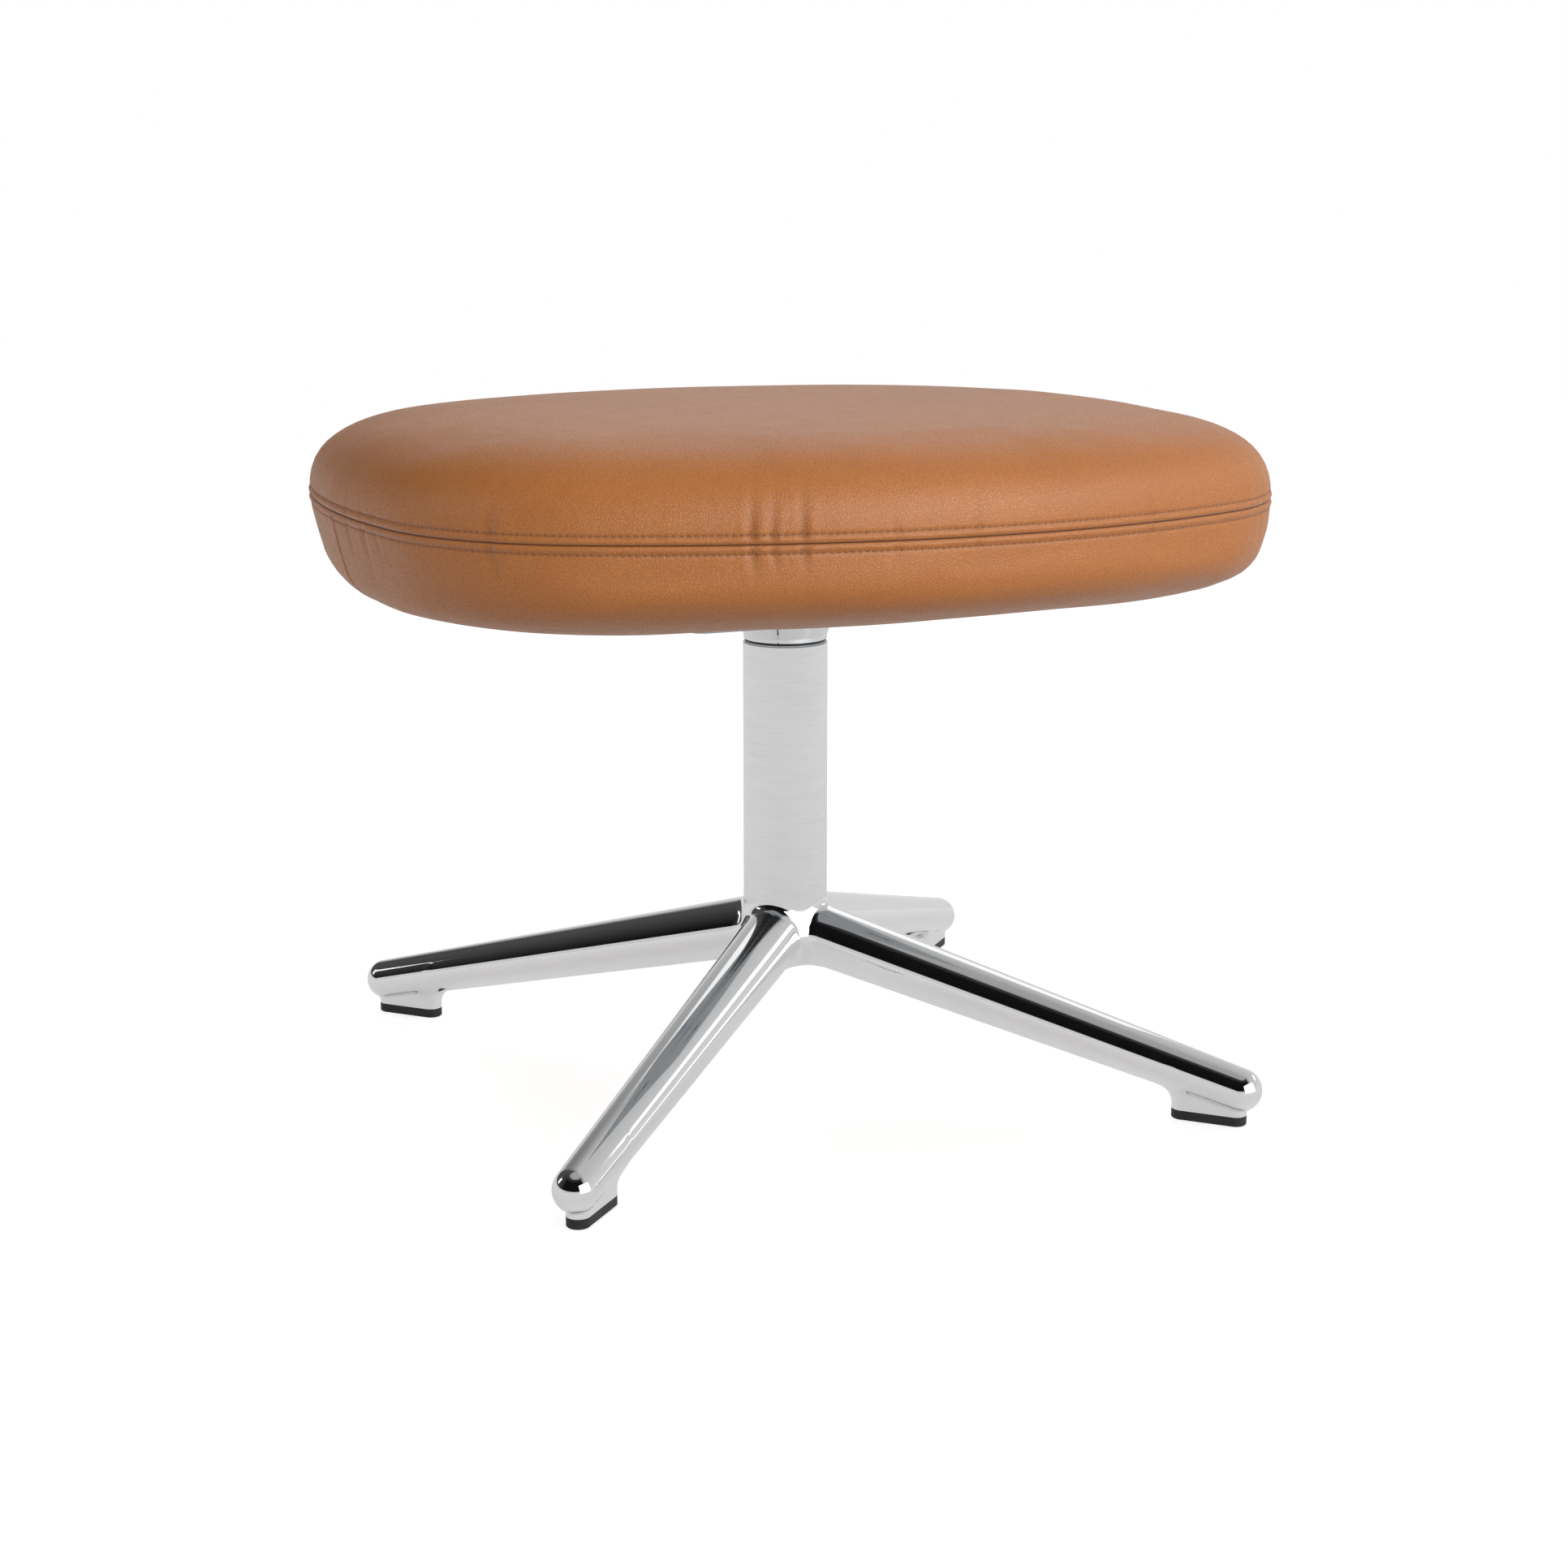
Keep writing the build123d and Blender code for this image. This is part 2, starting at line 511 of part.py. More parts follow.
tee_nuts.part.label = "tee_nuts"
export_step(tee_nuts.part, "parts/tee_nuts.step")

# ---- upholstered seat ---------------------------------------------------------------
with BuildPart() as seat_board:
    board_slab(BOARD_BOTTOM, BOARD_THICKNESS, 0)
    with BuildSketch(Plane.XY.offset(BOARD_BOTTOM)):
        with GridLocations(SCREW_SPACING, SCREW_SPACING, 2, 2):
            Circle(TEE_NUT_RADIUS + FIT)
    extrude(amount=BOARD_THICKNESS, mode=Mode.SUBTRACT)
seat_board.part.label = "seat_board"
export_step(seat_board.part, "parts/seat_board.step")

with BuildPart() as foam_core:
    crown(LEATHER + CLEAR)
    bowl(LEATHER + CLEAR, BOARD_BOTTOM + CLEAR)
    pocket_height = BOARD_TOP + TEE_NUT_FLANGE_THICKNESS + CLEAR - HEM_BOTTOM
    board_slab(HEM_BOTTOM, pocket_height, -CLEAR, mode=Mode.SUBTRACT)
foam_core.part.label = "foam_core"
export_step(foam_core.part, "parts/foam_core.step")

with BuildPart() as top_cover:
    crown(0)
    crown(LEATHER, mode=Mode.SUBTRACT)
top_cover.part.label = "top_cover"
export_step(top_cover.part, "parts/top_cover.step")

with BuildPart() as side_cover:
    bowl(0, HEM_BOTTOM)
    bowl(LEATHER, BOARD_BOTTOM, mode=Mode.SUBTRACT)
    board_slab(HEM_BOTTOM, LEATHER, HEM_WIDTH, mode=Mode.SUBTRACT)
side_cover.part.label = "side_cover"
export_step(side_cover.part, "parts/side_cover.step")

with BuildPart() as dust_cover:
    board_slab(PLATE_TOP, DUST_COVER_THICKNESS, DUST_COVER_MARGIN)
    with BuildSketch(Plane.XY.offset(PLATE_TOP)):
        with GridLocations(SCREW_SPACING, SCREW_SPACING, 2, 2):
            Circle(SCREW_HOLE_RADIUS)
    extrude(amount=DUST_COVER_THICKNESS, mode=Mode.SUBTRACT)
dust_cover.part.label = "dust_cover"
export_step(dust_cover.part, "parts/dust_cover.step")

staple_length_inset = BOARD_LENGTH_INSET + STAPLE_MARGIN
staple_depth_inset = BOARD_DEPTH_INSET + STAPLE_MARGIN
staple_path = plan_face(PLATE_TOP, staple_length_inset, staple_depth_inset).wire()
with BuildPart() as staples:
    for number in range(STAPLE_COUNT):
        share = number / STAPLE_COUNT
        centre = staple_path.position_at(share)
        crown_plane = Plane(origin=centre, x_dir=staple_path.tangent_at(share), z_dir=(0, 0, 1))
        with BuildSketch(crown_plane):
            Rectangle(STAPLE_WIDTH, STAPLE_WIRE)
        extrude(amount=-STAPLE_WIRE)
        with BuildSketch(crown_plane):
            with GridLocations(STAPLE_WIDTH - STAPLE_WIRE, 0, 2, 1):
                Rectangle(STAPLE_WIRE, STAPLE_WIRE)
        extrude(amount=STAPLE_DEPTH)
staples.part.label = "staples"
export_step(staples.part, "parts/staples.step")
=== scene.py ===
"""Looks of the swivel footstool: polished base, brushed column and stitched leather cushion."""

import math

import bmesh
import bpy
import numpy as np
from mathutils import Matrix, Vector


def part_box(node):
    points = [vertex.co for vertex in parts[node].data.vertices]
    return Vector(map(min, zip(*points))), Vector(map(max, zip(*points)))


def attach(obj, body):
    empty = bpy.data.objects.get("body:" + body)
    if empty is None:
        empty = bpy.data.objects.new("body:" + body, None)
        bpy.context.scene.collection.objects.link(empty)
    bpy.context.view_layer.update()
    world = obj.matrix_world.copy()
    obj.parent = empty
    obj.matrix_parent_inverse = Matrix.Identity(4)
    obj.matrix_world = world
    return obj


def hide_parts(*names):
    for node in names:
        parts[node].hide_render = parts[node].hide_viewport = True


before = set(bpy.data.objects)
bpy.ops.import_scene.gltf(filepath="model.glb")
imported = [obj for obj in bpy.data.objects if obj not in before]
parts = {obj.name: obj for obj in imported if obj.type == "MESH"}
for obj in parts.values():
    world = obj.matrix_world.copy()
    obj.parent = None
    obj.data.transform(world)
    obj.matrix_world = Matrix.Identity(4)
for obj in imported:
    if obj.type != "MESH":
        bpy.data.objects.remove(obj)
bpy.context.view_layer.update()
scene = bpy.context.scene

MM = 0.001

# ---- base casting, as in the CAD ----
LEG_ANGLES = (45, 135, 225, 315)
LEG_ROOT_HEIGHT = 90.3 * MM
LEG_ROOT_RADIUS = 18.9 * MM
LEG_END_REACH = 280.3 * MM
LEG_END_HEIGHT = 20.6 * MM
LEG_END_RADIUS = 12.4 * MM
GLIDE_REACH = 262.7 * MM
GLIDE_LENGTH = 43.6 * MM
GLIDE_WIDTH = 13.2 * MM
HUB_RADIUS = 27.5 * MM
HUB_BOTTOM = 68.8 * MM
HUB_EDGE = 3 * MM
RECESS_RADIUS = 13 * MM
RECESS_MOUTH = 50 * MM
BOLT_HOLE_RADIUS = 6.2 * MM
SOCKET_GAP = 0.05 * MM
LEG_BLEND = 6.5 * MM  # how softly neighbouring legs run into each other
HUB_BLEND = 5.5 * MM
COLUMN_BLEND = 5 * MM
NECK_BLEND_OUTER = 1.4 * MM  # crisp outside the pad, a wide fillet towards the hub
NECK_BLEND_INNER = 9 * MM
NECK_OVERRUN = 3 * MM  # the necks run this far into the glides until machined
BLANK_OVERRUN = 2.5 * MM
COLUMN_STUB = 32 * MM  # foot of the column that the fillet climbs, cut out afterwards
SOCKET_CUT = 60 * MM
CASTING_VOXEL = 1.4 * MM
SURFACE_STEPS = 8
SURFACE_TOLERANCE = 0.1 * MM

GLIDE_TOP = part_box("foot_glide_1")[1].z
COLUMN_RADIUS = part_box("column_tube")[1].x
SOCKET_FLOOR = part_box("column_tube")[0].z
RECESS_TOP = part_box("base_washer")[1].z
LEG_RUN = math.hypot(LEG_END_REACH, LEG_ROOT_HEIGHT - LEG_END_HEIGHT)

# ---- cushion plan and section, as in the CAD ----
HALF_LENGTH = 266.7 * MM
HALF_DEPTH = 232.5 * MM
SIDE_RADIUS = 425 * MM
END_RADIUS = 515 * MM
CORNER_RADIUS = 135 * MM
SEAM_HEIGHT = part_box("top_cover")[0].z
CROWN_RISE = 50.2 * MM
CROWN_FLATNESS = 6.6
CROWN_SHOULDER = 2.5
BOWL_DROP = 53 * MM
BOWL_LENGTH_INSET = 75 * MM
BOWL_DEPTH_INSET = 66 * MM
BOWL_END_POWER = 1.22
BOWL_END_SHOULDER = 8
BOWL_SIDE_POWER = 5.25
UNDERSIDE_INSETS = (105 * MM, 100 * MM)
HEM_INSETS = (131 * MM, 126 * MM)
CORNER_HANG = 2.9 * MM  # the stuffing hangs lower at the corners of the plan
SIDE_LIFT = 0.5 * MM
HEM_HEIGHT = 290.8 * MM
BOARD_INSETS = (107.7 * MM, 102.7 * MM)
BOARD_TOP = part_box("seat_board")[1].z
LEATHER = 1.6 * MM
FOAM_GAP = 3 * MM
CLOTH_THICKNESS, CLOTH_SLACK = 0.5 * MM, 0.9 * MM

# ---- sewing, as distances from the seam along the leather ----
STITCHES = 444
PITCH = 4  # points per stitch, the first at its hole
AROUND = PITCH * STITCHES
END_SHARE, CORNER_SHARE = 102, 137  # points on the arcs of a quarter of the plan
SIDE_SHARE = AROUND // 4 - END_SHARE - CORNER_SHARE
ROLL_WIDTH = 1.7 * MM
ROLL_DEPTH = 1.25 * MM
RIDGE, RIDGE_AT, RIDGE_WIDTH = 0.55 * MM, 2.2 * MM, 1.3 * MM
STITCH_ROW = 4.7 * MM
ROW_DIP, ROW_WIDTH = 0.42 * MM, 0.85 * MM
# the second width is how far the painted shade spreads round each stitch hole
HOLE_DIP, HOLE_SHADE_WIDTH = 0.3 * MM, 0.5 * MM
# how far the painted shade reaches from the seam's groove
GROOVE_WIDTH = 0.55 * MM
DRAW, DRAW_REACH = 0.075 * MM, 14 * MM  # fine unevenness beside the seam
ALLOWANCE, ALLOWANCE_RISE = 4.5 * MM, 1.5 * MM  # the leather turned in at the seam
SEAM_GAP = 0.03 * MM  # between the two covers
END_SEAM_ANGLE = 180
# the last width is how far the painted shade spreads either side of the end seam
END_GROOVE, END_GROOVE_WIDTH, END_SHADE_WIDTH = 1.1 * MM, 0.8 * MM, 0.9 * MM
END_RIDGE, END_RIDGE_AT, END_RIDGE_WIDTH = 0.35 * MM, 2.1 * MM, 1.2 * MM
THREAD_RADIUS = 0.24 * MM
THREAD_REACH = 0.45  # half a stitch, as a share of the pitch

# strong and faint puckers: angle, depth, width, reach above the seam, reach below it
PUCKERS = (
    (-116.4, 1.3, 3.2, 20, 11), (-113.9, 1.0, 2.8, 17, 9), (-110.3, 1.2, 3.4, 21, 10),
    (-144.6, 0.7, 4.0, 14, 16), (-98.7, 0.55, 3.6, 12, 8), (-87.9, 0.6, 3.6, 13, 9),
    (-173.5, 0.5, 4.2, 6, 22), (-168.0, 0.6, 4.4, 7, 24), (-164.3, 0.45, 3.8, 6, 20),
    (-61.0, 0.5, 4.0, 12, 12), (-38.0, 0.6, 4.4, 11, 15), (-8.0, 0.5, 4.2, 10, 14),
    (24.0, 0.6, 4.0, 13, 12), (49.0, 0.7, 4.4, 14, 14), (78.0, 0.5, 4.0, 12, 10),
    (101.0, 0.8, 3.6, 16, 10), (133.0, 0.6, 4.2, 12, 16), (160.0, 0.5, 4.0, 9, 16),
)


# ---- small helpers ----
def add_object(name, data):
    """New object in the scene for a mesh, a light or a camera."""
    obj = bpy.data.objects.new(name, data)
    scene.collection.objects.link(obj)
    return obj


def mesh_from(name, points, faces):
    """Mesh from points and a face list."""
    mesh = bpy.data.meshes.new(name)
    mesh.from_pydata([tuple(p) for p in points], [], faces)
    mesh.update()
    return mesh


def tube_faces(first, sides, rings):
    """Faces of a closed tube whose rings of points follow one another."""
    faces = []
    last = first + (rings - 1) * sides
    for start in range(first, last, sides):
        for i in range(sides):
            j = (i + 1) % sides
            faces.append((start + i, start + j, start + sides + j, start + sides + i))
    return faces + [tuple(range(first, first + sides))[::-1], tuple(range(last, last + sides))]


def smooth_min(a, b, k):
    """Union of two distances that blends over a width k."""
    h = np.clip(0.5 + 0.5 * (b - a) / k, 0, 1)
    return b + (a - b) * h - k * h * (1 - h)


def smooth_step(low, high, value):
    """0 below low, 1 above high, smooth between."""
    t = np.clip((value - low) / (high - low), 0, 1)
    return t * t * (3 - 2 * t)


def bell(offset, width):
    """1 where the offset is 0, falling to nothing beyond the width."""
    return np.exp(-((offset / width) ** 2))


def read(items, name, width=3, kind=float):
    """One attribute of every item as an array."""
    flat = np.empty(len(items) * width, kind)
    items.foreach_get(name, flat)
    return flat.reshape(-1, width) if width > 1 else flat


def apply_modifier(obj, kind, **settings):
    """Adds one modifier, bakes its result into the mesh and removes it."""
    modifier = obj.modifiers.new("step", kind)
    for key, value in settings.items():
        setattr(modifier, key, value)
    graph = bpy.context.evaluated_depsgraph_get()
    made = bpy.data.meshes.new_from_object(obj.evaluated_get(graph))
    obj.modifiers.clear()
    old = obj.data
    obj.data = made
    bpy.data.meshes.remove(old)


# ---- star base ----
def leg_distance(points, angle):
    """Distance to one leg with its ball end and the neck over its glide."""
    out = np.array([math.cos(math.radians(angle)), math.sin(math.radians(angle)), 0])
    across = np.array([-out[1], out[0], 0])
    axis = (out * LEG_END_REACH + [0, 0, LEG_END_HEIGHT - LEG_ROOT_HEIGHT]) / LEG_RUN
    from_root = points - [0, 0, LEG_ROOT_HEIGHT]
    run = np.clip(from_root @ axis, 0, LEG_RUN)
    radius = LEG_ROOT_RADIUS + (LEG_END_RADIUS - LEG_ROOT_RADIUS) * run / LEG_RUN
    leg = np.linalg.norm(from_root - run[:, None] * axis, axis=1) - radius
    along = points @ out - GLIDE_REACH
    half_run = (GLIDE_LENGTH - GLIDE_WIDTH) / 2
    beyond = np.maximum(np.abs(along) - half_run, 0)
    slot = np.hypot(beyond, points @ across) - GLIDE_WIDTH / 2
    drop = (LEG_ROOT_HEIGHT - LEG_END_HEIGHT) / LEG_END_REACH
    axis_height = LEG_ROOT_HEIGHT - (points @ out) * drop
    neck = np.maximum(slot, points[:, 2] - axis_height)
    neck = np.maximum(neck, GLIDE_TOP - NECK_OVERRUN - points[:, 2])
    outer = smooth_step(-GLIDE_LENGTH * 0.55, -GLIDE_LENGTH * 0.1, along)
    blend = NECK_BLEND_INNER + (NECK_BLEND_OUTER - NECK_BLEND_INNER) * outer
    return smooth_min(leg, neck, blend)


def casting_distance(points):
    """Distance to the whole casting, with the fillet that climbs the column's foot."""
    result = leg_distance(points, LEG_ANGLES[0])
    for angle in LEG_ANGLES[1:]:
        result = smooth_min(result, leg_distance(points, angle), LEG_BLEND)
    radial = np.hypot(points[:, 0], points[:, 1])
    side = radial - (HUB_RADIUS - HUB_EDGE)
    middle = (HUB_BOTTOM + LEG_ROOT_HEIGHT) / 2
    level = np.abs(points[:, 2] - middle) - (middle - HUB_BOTTOM - HUB_EDGE)
    outside = np.hypot(np.maximum(side, 0), np.maximum(level, 0))
    hub = outside + np.minimum(np.maximum(side, level), 0) - HUB_EDGE
    result = smooth_min(result, hub, HUB_BLEND)
    column = np.maximum(radial - COLUMN_RADIUS, SOCKET_FLOOR - points[:, 2])
    return smooth_min(result, column, COLUMN_BLEND)


def casting_normals(points, step=0.02 * MM):
    """Outward unit normals of the casting's surface."""
    gradient = np.empty_like(points)
    for axis in range(3):
        offset = np.zeros(3)
        offset[axis] = step
        gradient[:, axis] = casting_distance(points + offset) - casting_distance(points - offset)
    return gradient / np.maximum(np.linalg.norm(gradient, axis=1), 1e-12)[:, None]


def add_cone(blank, place, segments, length, low_radius, high_radius):
    """Adds a closed cone or cylinder along the Z axis of its place."""
    bmesh.ops.create_cone(
        blank, cap_ends=True, segments=segments, depth=length,
        radius1=low_radius, radius2=high_radius, matrix=place,
    )


def rough_casting():
    """Overlapping closed solids of the legs, necks and hub, ready for a voxel remesh."""
    blank = bmesh.new()
    tilt = math.pi / 2 + math.atan2(LEG_ROOT_HEIGHT - LEG_END_HEIGHT, LEG_END_REACH)
    base = GLIDE_TOP - BLANK_OVERRUN
    half_run = (GLIDE_LENGTH - GLIDE_WIDTH) / 2
    height = LEG_END_HEIGHT - base
    shift = Matrix.Translation
    for angle in LEG_ANGLES:
        turn = Matrix.Rotation(math.radians(angle), 4, "Z")
        root = turn @ shift((0, 0, LEG_ROOT_HEIGHT)) @ Matrix.Rotation(tilt, 4, "Y")
        middle = root @ shift((0, 0, LEG_RUN / 2))
        add_cone(blank, middle, 48, LEG_RUN, LEG_ROOT_RADIUS, LEG_END_RADIUS)
        end = turn @ shift((LEG_END_REACH, 0, LEG_END_HEIGHT))
        bmesh.ops.create_icosphere(blank, subdivisions=4, radius=LEG_END_RADIUS, matrix=end)
        for along in (-half_run, half_run):
            place = turn @ shift((GLIDE_REACH + along, 0, base + height / 2))
            add_cone(blank, place, 32, height, GLIDE_WIDTH / 2, GLIDE_WIDTH / 2)
        size = Matrix.Diagonal((2 * half_run, GLIDE_WIDTH, height, 1))
        place = turn @ shift((GLIDE_REACH, 0, base + height / 2)) @ size
        bmesh.ops.create_cube(blank, size=1, matrix=place)
    for radius, low, high in (
        (HUB_RADIUS, HUB_BOTTOM, LEG_ROOT_HEIGHT),
        (COLUMN_RADIUS, SOCKET_FLOOR, SOCKET_FLOOR + COLUMN_STUB),
    ):
        add_cone(blank, shift((0, 0, (low + high) / 2)), 96, high - low, radius, radius)
    mesh = bpy.data.meshes.new("star_casting")
    blank.to_mesh(mesh)
    blank.free()
    return mesh


def machining_tool():
    """What is cut from the casting: column socket, bolt recess and the flats over the glides."""
    profile = (
        (RECESS_RADIUS, RECESS_MOUTH), (RECESS_RADIUS, RECESS_TOP), (BOLT_HOLE_RADIUS, RECESS_TOP),
        (BOLT_HOLE_RADIUS, SOCKET_FLOOR), (COLUMN_RADIUS + SOCKET_GAP, SOCKET_FLOOR),
        (COLUMN_RADIUS + SOCKET_GAP, SOCKET_FLOOR + SOCKET_CUT),
    )
    segments = 192
    floor_span = 0.7
    turn = np.linspace(0, 2 * math.pi, segments, endpoint=False)
    points = [(r * math.cos(a), r * math.sin(a), z) for r, z in profile for a in turn]
    mesh = mesh_from("tool", points, tube_faces(0, segments, len(profile)))
    blank = bmesh.new()
    blank.from_mesh(mesh)
    depth = 20 * MM
    size = Matrix.Diagonal((floor_span, floor_span, depth, 1))
    place = Matrix.Translation((0, 0, GLIDE_TOP - depth / 2)) @ size
    bmesh.ops.create_cube(blank, size=1, matrix=place)
    blank.to_mesh(mesh)
    blank.free()
    return add_object("tool", mesh)


def make_casting():
    """One smooth casting: remeshed solids drawn onto the blended surface, then machined."""
    obj = add_object("star_casting", rough_casting())
    apply_modifier(obj, "REMESH", mode="VOXEL", voxel_size=CASTING_VOXEL, adaptivity=0)
    points = read(obj.data.vertices, "co")
    for _ in range(SURFACE_STEPS):
        points = points - casting_distance(points)[:, None] * casting_normals(points)
    obj.data.vertices.foreach_set("co", points.ravel())
    obj.data.update()
    tool = machining_tool()
    apply_modifier(obj, "BOOLEAN", operation="DIFFERENCE", object=tool, solver="MANIFOLD")
    bpy.data.objects.remove(tool)
    mesh = obj.data
    mesh.name = "star_casting"
    mesh.shade_smooth()
    cast = np.abs(casting_distance(read(mesh.polygons, "center"))) < SURFACE_TOLERANCE
    face_of_loop = np.repeat(np.arange(len(cast)), read(mesh.polygons, "loop_total", 1, int))
    loop_vertex = read(mesh.loops, "vertex_index", 1, int)
    corner_normals = read(mesh.polygons, "normal")[face_of_loop]
    on_cast = cast[face_of_loop]
    corner_normals[on_cast] = casting_normals(read(mesh.vertices, "co"))[loop_vertex[on_cast]]
    mesh.normals_split_custom_set(corner_normals.tolist())
    return obj


# ---- cushion surfaces ----
def arc(centre, radius, start, stop, count):
    """Points on an arc, its last point left out."""
    turn = np.linspace(start, stop, count, endpoint=False)
    return np.stack([centre[0] + radius * np.cos(turn), centre[1] + radius * np.sin(turn)], 1)


def plan_ring(length_inset, depth_inset, height, scale=None):
    """Ring of AROUND points at a height: the cushion's plan drawn in by an inset each way."""
    half_length, half_depth = HALF_LENGTH - length_inset, HALF_DEPTH - depth_inset
    if scale is None:
        scale = (half_length / HALF_LENGTH + half_depth / HALF_DEPTH) / 2
    side, end, corner = SIDE_RADIUS * scale, END_RADIUS * scale, CORNER_RADIUS * scale
    side_centre = np.array([0, half_depth - side])
    end_centre = np.array([half_length - end, 0])
    apart = end_centre - side_centre
    distance = np.linalg.norm(apart)
    to_side, to_end = side - corner, end - corner
    along = (to_side**2 - to_end**2 + distance**2) / (2 * distance)
    across = math.sqrt(max(to_side**2 - along**2, 0))
    unit = apart / distance
    normal = np.array([unit[1], -unit[0]])
    corner_centre = side_centre + unit * along + normal * across
    end_angle = math.atan2(*(corner_centre - end_centre)[::-1])
    side_angle = math.atan2(*(corner_centre - side_centre)[::-1])
    quarter = np.concatenate([
        arc(end_centre, end, 0, end_angle, END_SHARE),
        arc(corner_centre, corner, end_angle, side_angle, CORNER_SHARE),
        arc(side_centre, side, side_angle, math.pi / 2, SIDE_SHARE),
    ])
    half = np.concatenate([quarter, [[0, half_depth]], quarter[:0:-1] * [-1, 1]])
    plan = np.concatenate([half, -half])
    return np.column_stack([plan, np.full(AROUND, height)])


def crown_rings(shares):
    """Rings of the crown, from the seam, where the share of the plan is 1, inwards."""
    rings = []
    for u in shares:
        height = SEAM_HEIGHT + CROWN_RISE * (1 - u**CROWN_FLATNESS) ** (1 / CROWN_SHOULDER)
        rings.append(plan_ring(HALF_LENGTH * (1 - u), HALF_DEPTH * (1 - u), height, u))
    return np.array(rings)


def bowl_rings(shares):
    """Rings of the lower half: 0 is the seam, 1 the rim, 2 the board's edge and 3 the hem."""
    rings = []
    for t in shares:
        down = min(t, 1)
        shoulder = (1 - down**BOWL_END_POWER) ** (1 / BOWL_END_SHOULDER)
        length_inset = BOWL_LENGTH_INSET * (1 - shoulder)
        depth_inset = BOWL_DEPTH_INSET * down**BOWL_SIDE_POWER
        height = SEAM_HEIGHT - BOWL_DROP * down
        if t > 1:
            under = min(t - 1, 1)
            length_inset += (UNDERSIDE_INSETS[0] - BOWL_LENGTH_INSET) * under
            depth_inset += (UNDERSIDE_INSETS[1] - BOWL_DEPTH_INSET) * under
            height += (HEM_HEIGHT - height) * under
        if t > 2:
            length_inset += (HEM_INSETS[0] - UNDERSIDE_INSETS[0]) * (t - 2)
            depth_inset += (HEM_INSETS[1] - UNDERSIDE_INSETS[1]) * (t - 2)
        ring = plan_ring(length_inset, depth_inset, height)
        round_plan = np.arctan2(ring[:, 1] * HALF_LENGTH, ring[:, 0] * HALF_DEPTH)
        corner = np.sin(2 * round_plan) ** 6
        hang = smooth_step(0.5, 0.95, t) * (1 - smooth_step(1.3, 2, t))
        ring[:, 2] -= (CORNER_HANG * corner - SIDE_LIFT) * hang
        rings.append(ring)
    return np.array(rings)


def ring_normals(rings, upward):
    """Outward normals on a stack of rings, which runs up the cushion or down it."""
    around = np.roll(rings, -1, 1) - np.roll(rings, 1, 1)
    along = np.gradient(rings, axis=0)
    normals = np.cross(around, along) * (1 if upward else -1)
    return normals / np.maximum(np.linalg.norm(normals, axis=2), 1e-12)[:, :, None]


def run_lengths(rings):
    """Mean distance of each ring from the first, along the leather."""
    steps = np.linalg.norm(np.diff(rings, axis=0), axis=2).mean(1)
    return np.concatenate([[0], np.cumsum(steps)])


SEAM_RING = crown_rings([1])[0]
SEAM_STEPS = np.linalg.norm(np.roll(SEAM_RING, -1, 0) - SEAM_RING, axis=1)
SEAM_ARC = np.concatenate([[0], np.cumsum(SEAM_STEPS)[:-1]])
SEAM_LENGTH = SEAM_STEPS.sum()
SEAM_ANGLE = np.degrees(np.arctan2(SEAM_RING[:, 1], SEAM_RING[:, 0]))

# distance from the seam of the rings beside it
NEAR_RUNS = np.array([
    0, 0.08, 0.22, 0.45, 0.75, 1.1, 1.6, 2.2, 2.8, 3.5, 4.1, 4.7, 5.3, 6, 7, 8.3, 10, 12,
]) * MM
NEAR = len(NEAR_RUNS)
FAR_START = 14.5 * MM
STITCH_RING = int(np.argmin(np.abs(NEAR_RUNS - STITCH_ROW)))
INNER_FIRST = 9  # ring where the inner side of a cover meets its turned-in edge


def seam_offsets(angle):
    """Signed distance along the seam of every column of points from an angle of the plan."""
    nearest = SEAM_ARC[np.argmin(np.abs((SEAM_ANGLE - angle + 180) % 360 - 180))]
    return (SEAM_ARC - nearest + SEAM_LENGTH / 2) % SEAM_LENGTH - SEAM_LENGTH / 2


def sewing_relief(runs, above):
    """Outward relief of the sewn leather by ring and column, and a painted-shade mask that darkens
    its seam groove, stitch holes and puckers.
    """
    s = runs[:, None]
    share = np.clip((ROLL_WIDTH - s) / ROLL_WIDTH, 0, 1)
    relief = -ROLL_DEPTH * (1 - np.sqrt(1 - share**2)) + RIDGE * bell(s - RIDGE_AT, RIDGE_WIDTH)
    row = bell(s - STITCH_ROW, ROW_WIDTH)
    hole = 0.5 + 0.5 * np.cos(2 * math.pi * np.arange(AROUND) / PITCH)
    relief = relief - row * (ROW_DIP + HOLE_DIP * hole)
    relief = np.broadcast_to(relief, (len(runs), AROUND)).copy()
    # painted shade: darkest in the seam groove, with spots at the stitch holes and a faint line
    # along the row
    crease_shade = np.clip(1.2 - s / GROOVE_WIDTH, 0, 1) * np.ones(AROUND)
    crease_shade += 0.95 * bell(s - STITCH_ROW, HOLE_SHADE_WIDTH) * hole**4 + 0.12 * row
    for angle, depth, width, reach_up, reach_down in PUCKERS:
        x = seam_offsets(angle)[None, :] / (width * MM)
        reach = (reach_up if above else reach_down) * MM
        lean = x + (s / reach) * 0.35 * math.sin(angle)
        fade = smooth_step(-2.0 * MM, 5 * MM, s) * np.exp(-((s / reach) ** 1.6))
        relief += depth * MM * fade * (lean**2 * 1.1 - 1) * np.exp(-(lean**2) / 1.4)
        # painted shade in the fold of each pucker
        crease_shade += 0.35 * depth * fade * np.exp(-2.5 * lean**2)
    draw = np.zeros(AROUND)
    random = np.random.default_rng(7 if above else 8)
    turn = 2 * math.pi * SEAM_ARC / SEAM_LENGTH
    for waves in (23, 31, 38, 47, 61, 74, 97, 118):
        draw += np.sin(waves * turn + random.uniform(0, 2 * math.pi)) * random.uniform(0.5, 1)
    relief += DRAW * draw * smooth_step(0.8 * MM, 4 * MM, s) * np.exp(-s / DRAW_REACH)
    return relief, np.clip(crease_shade, 0, 1)


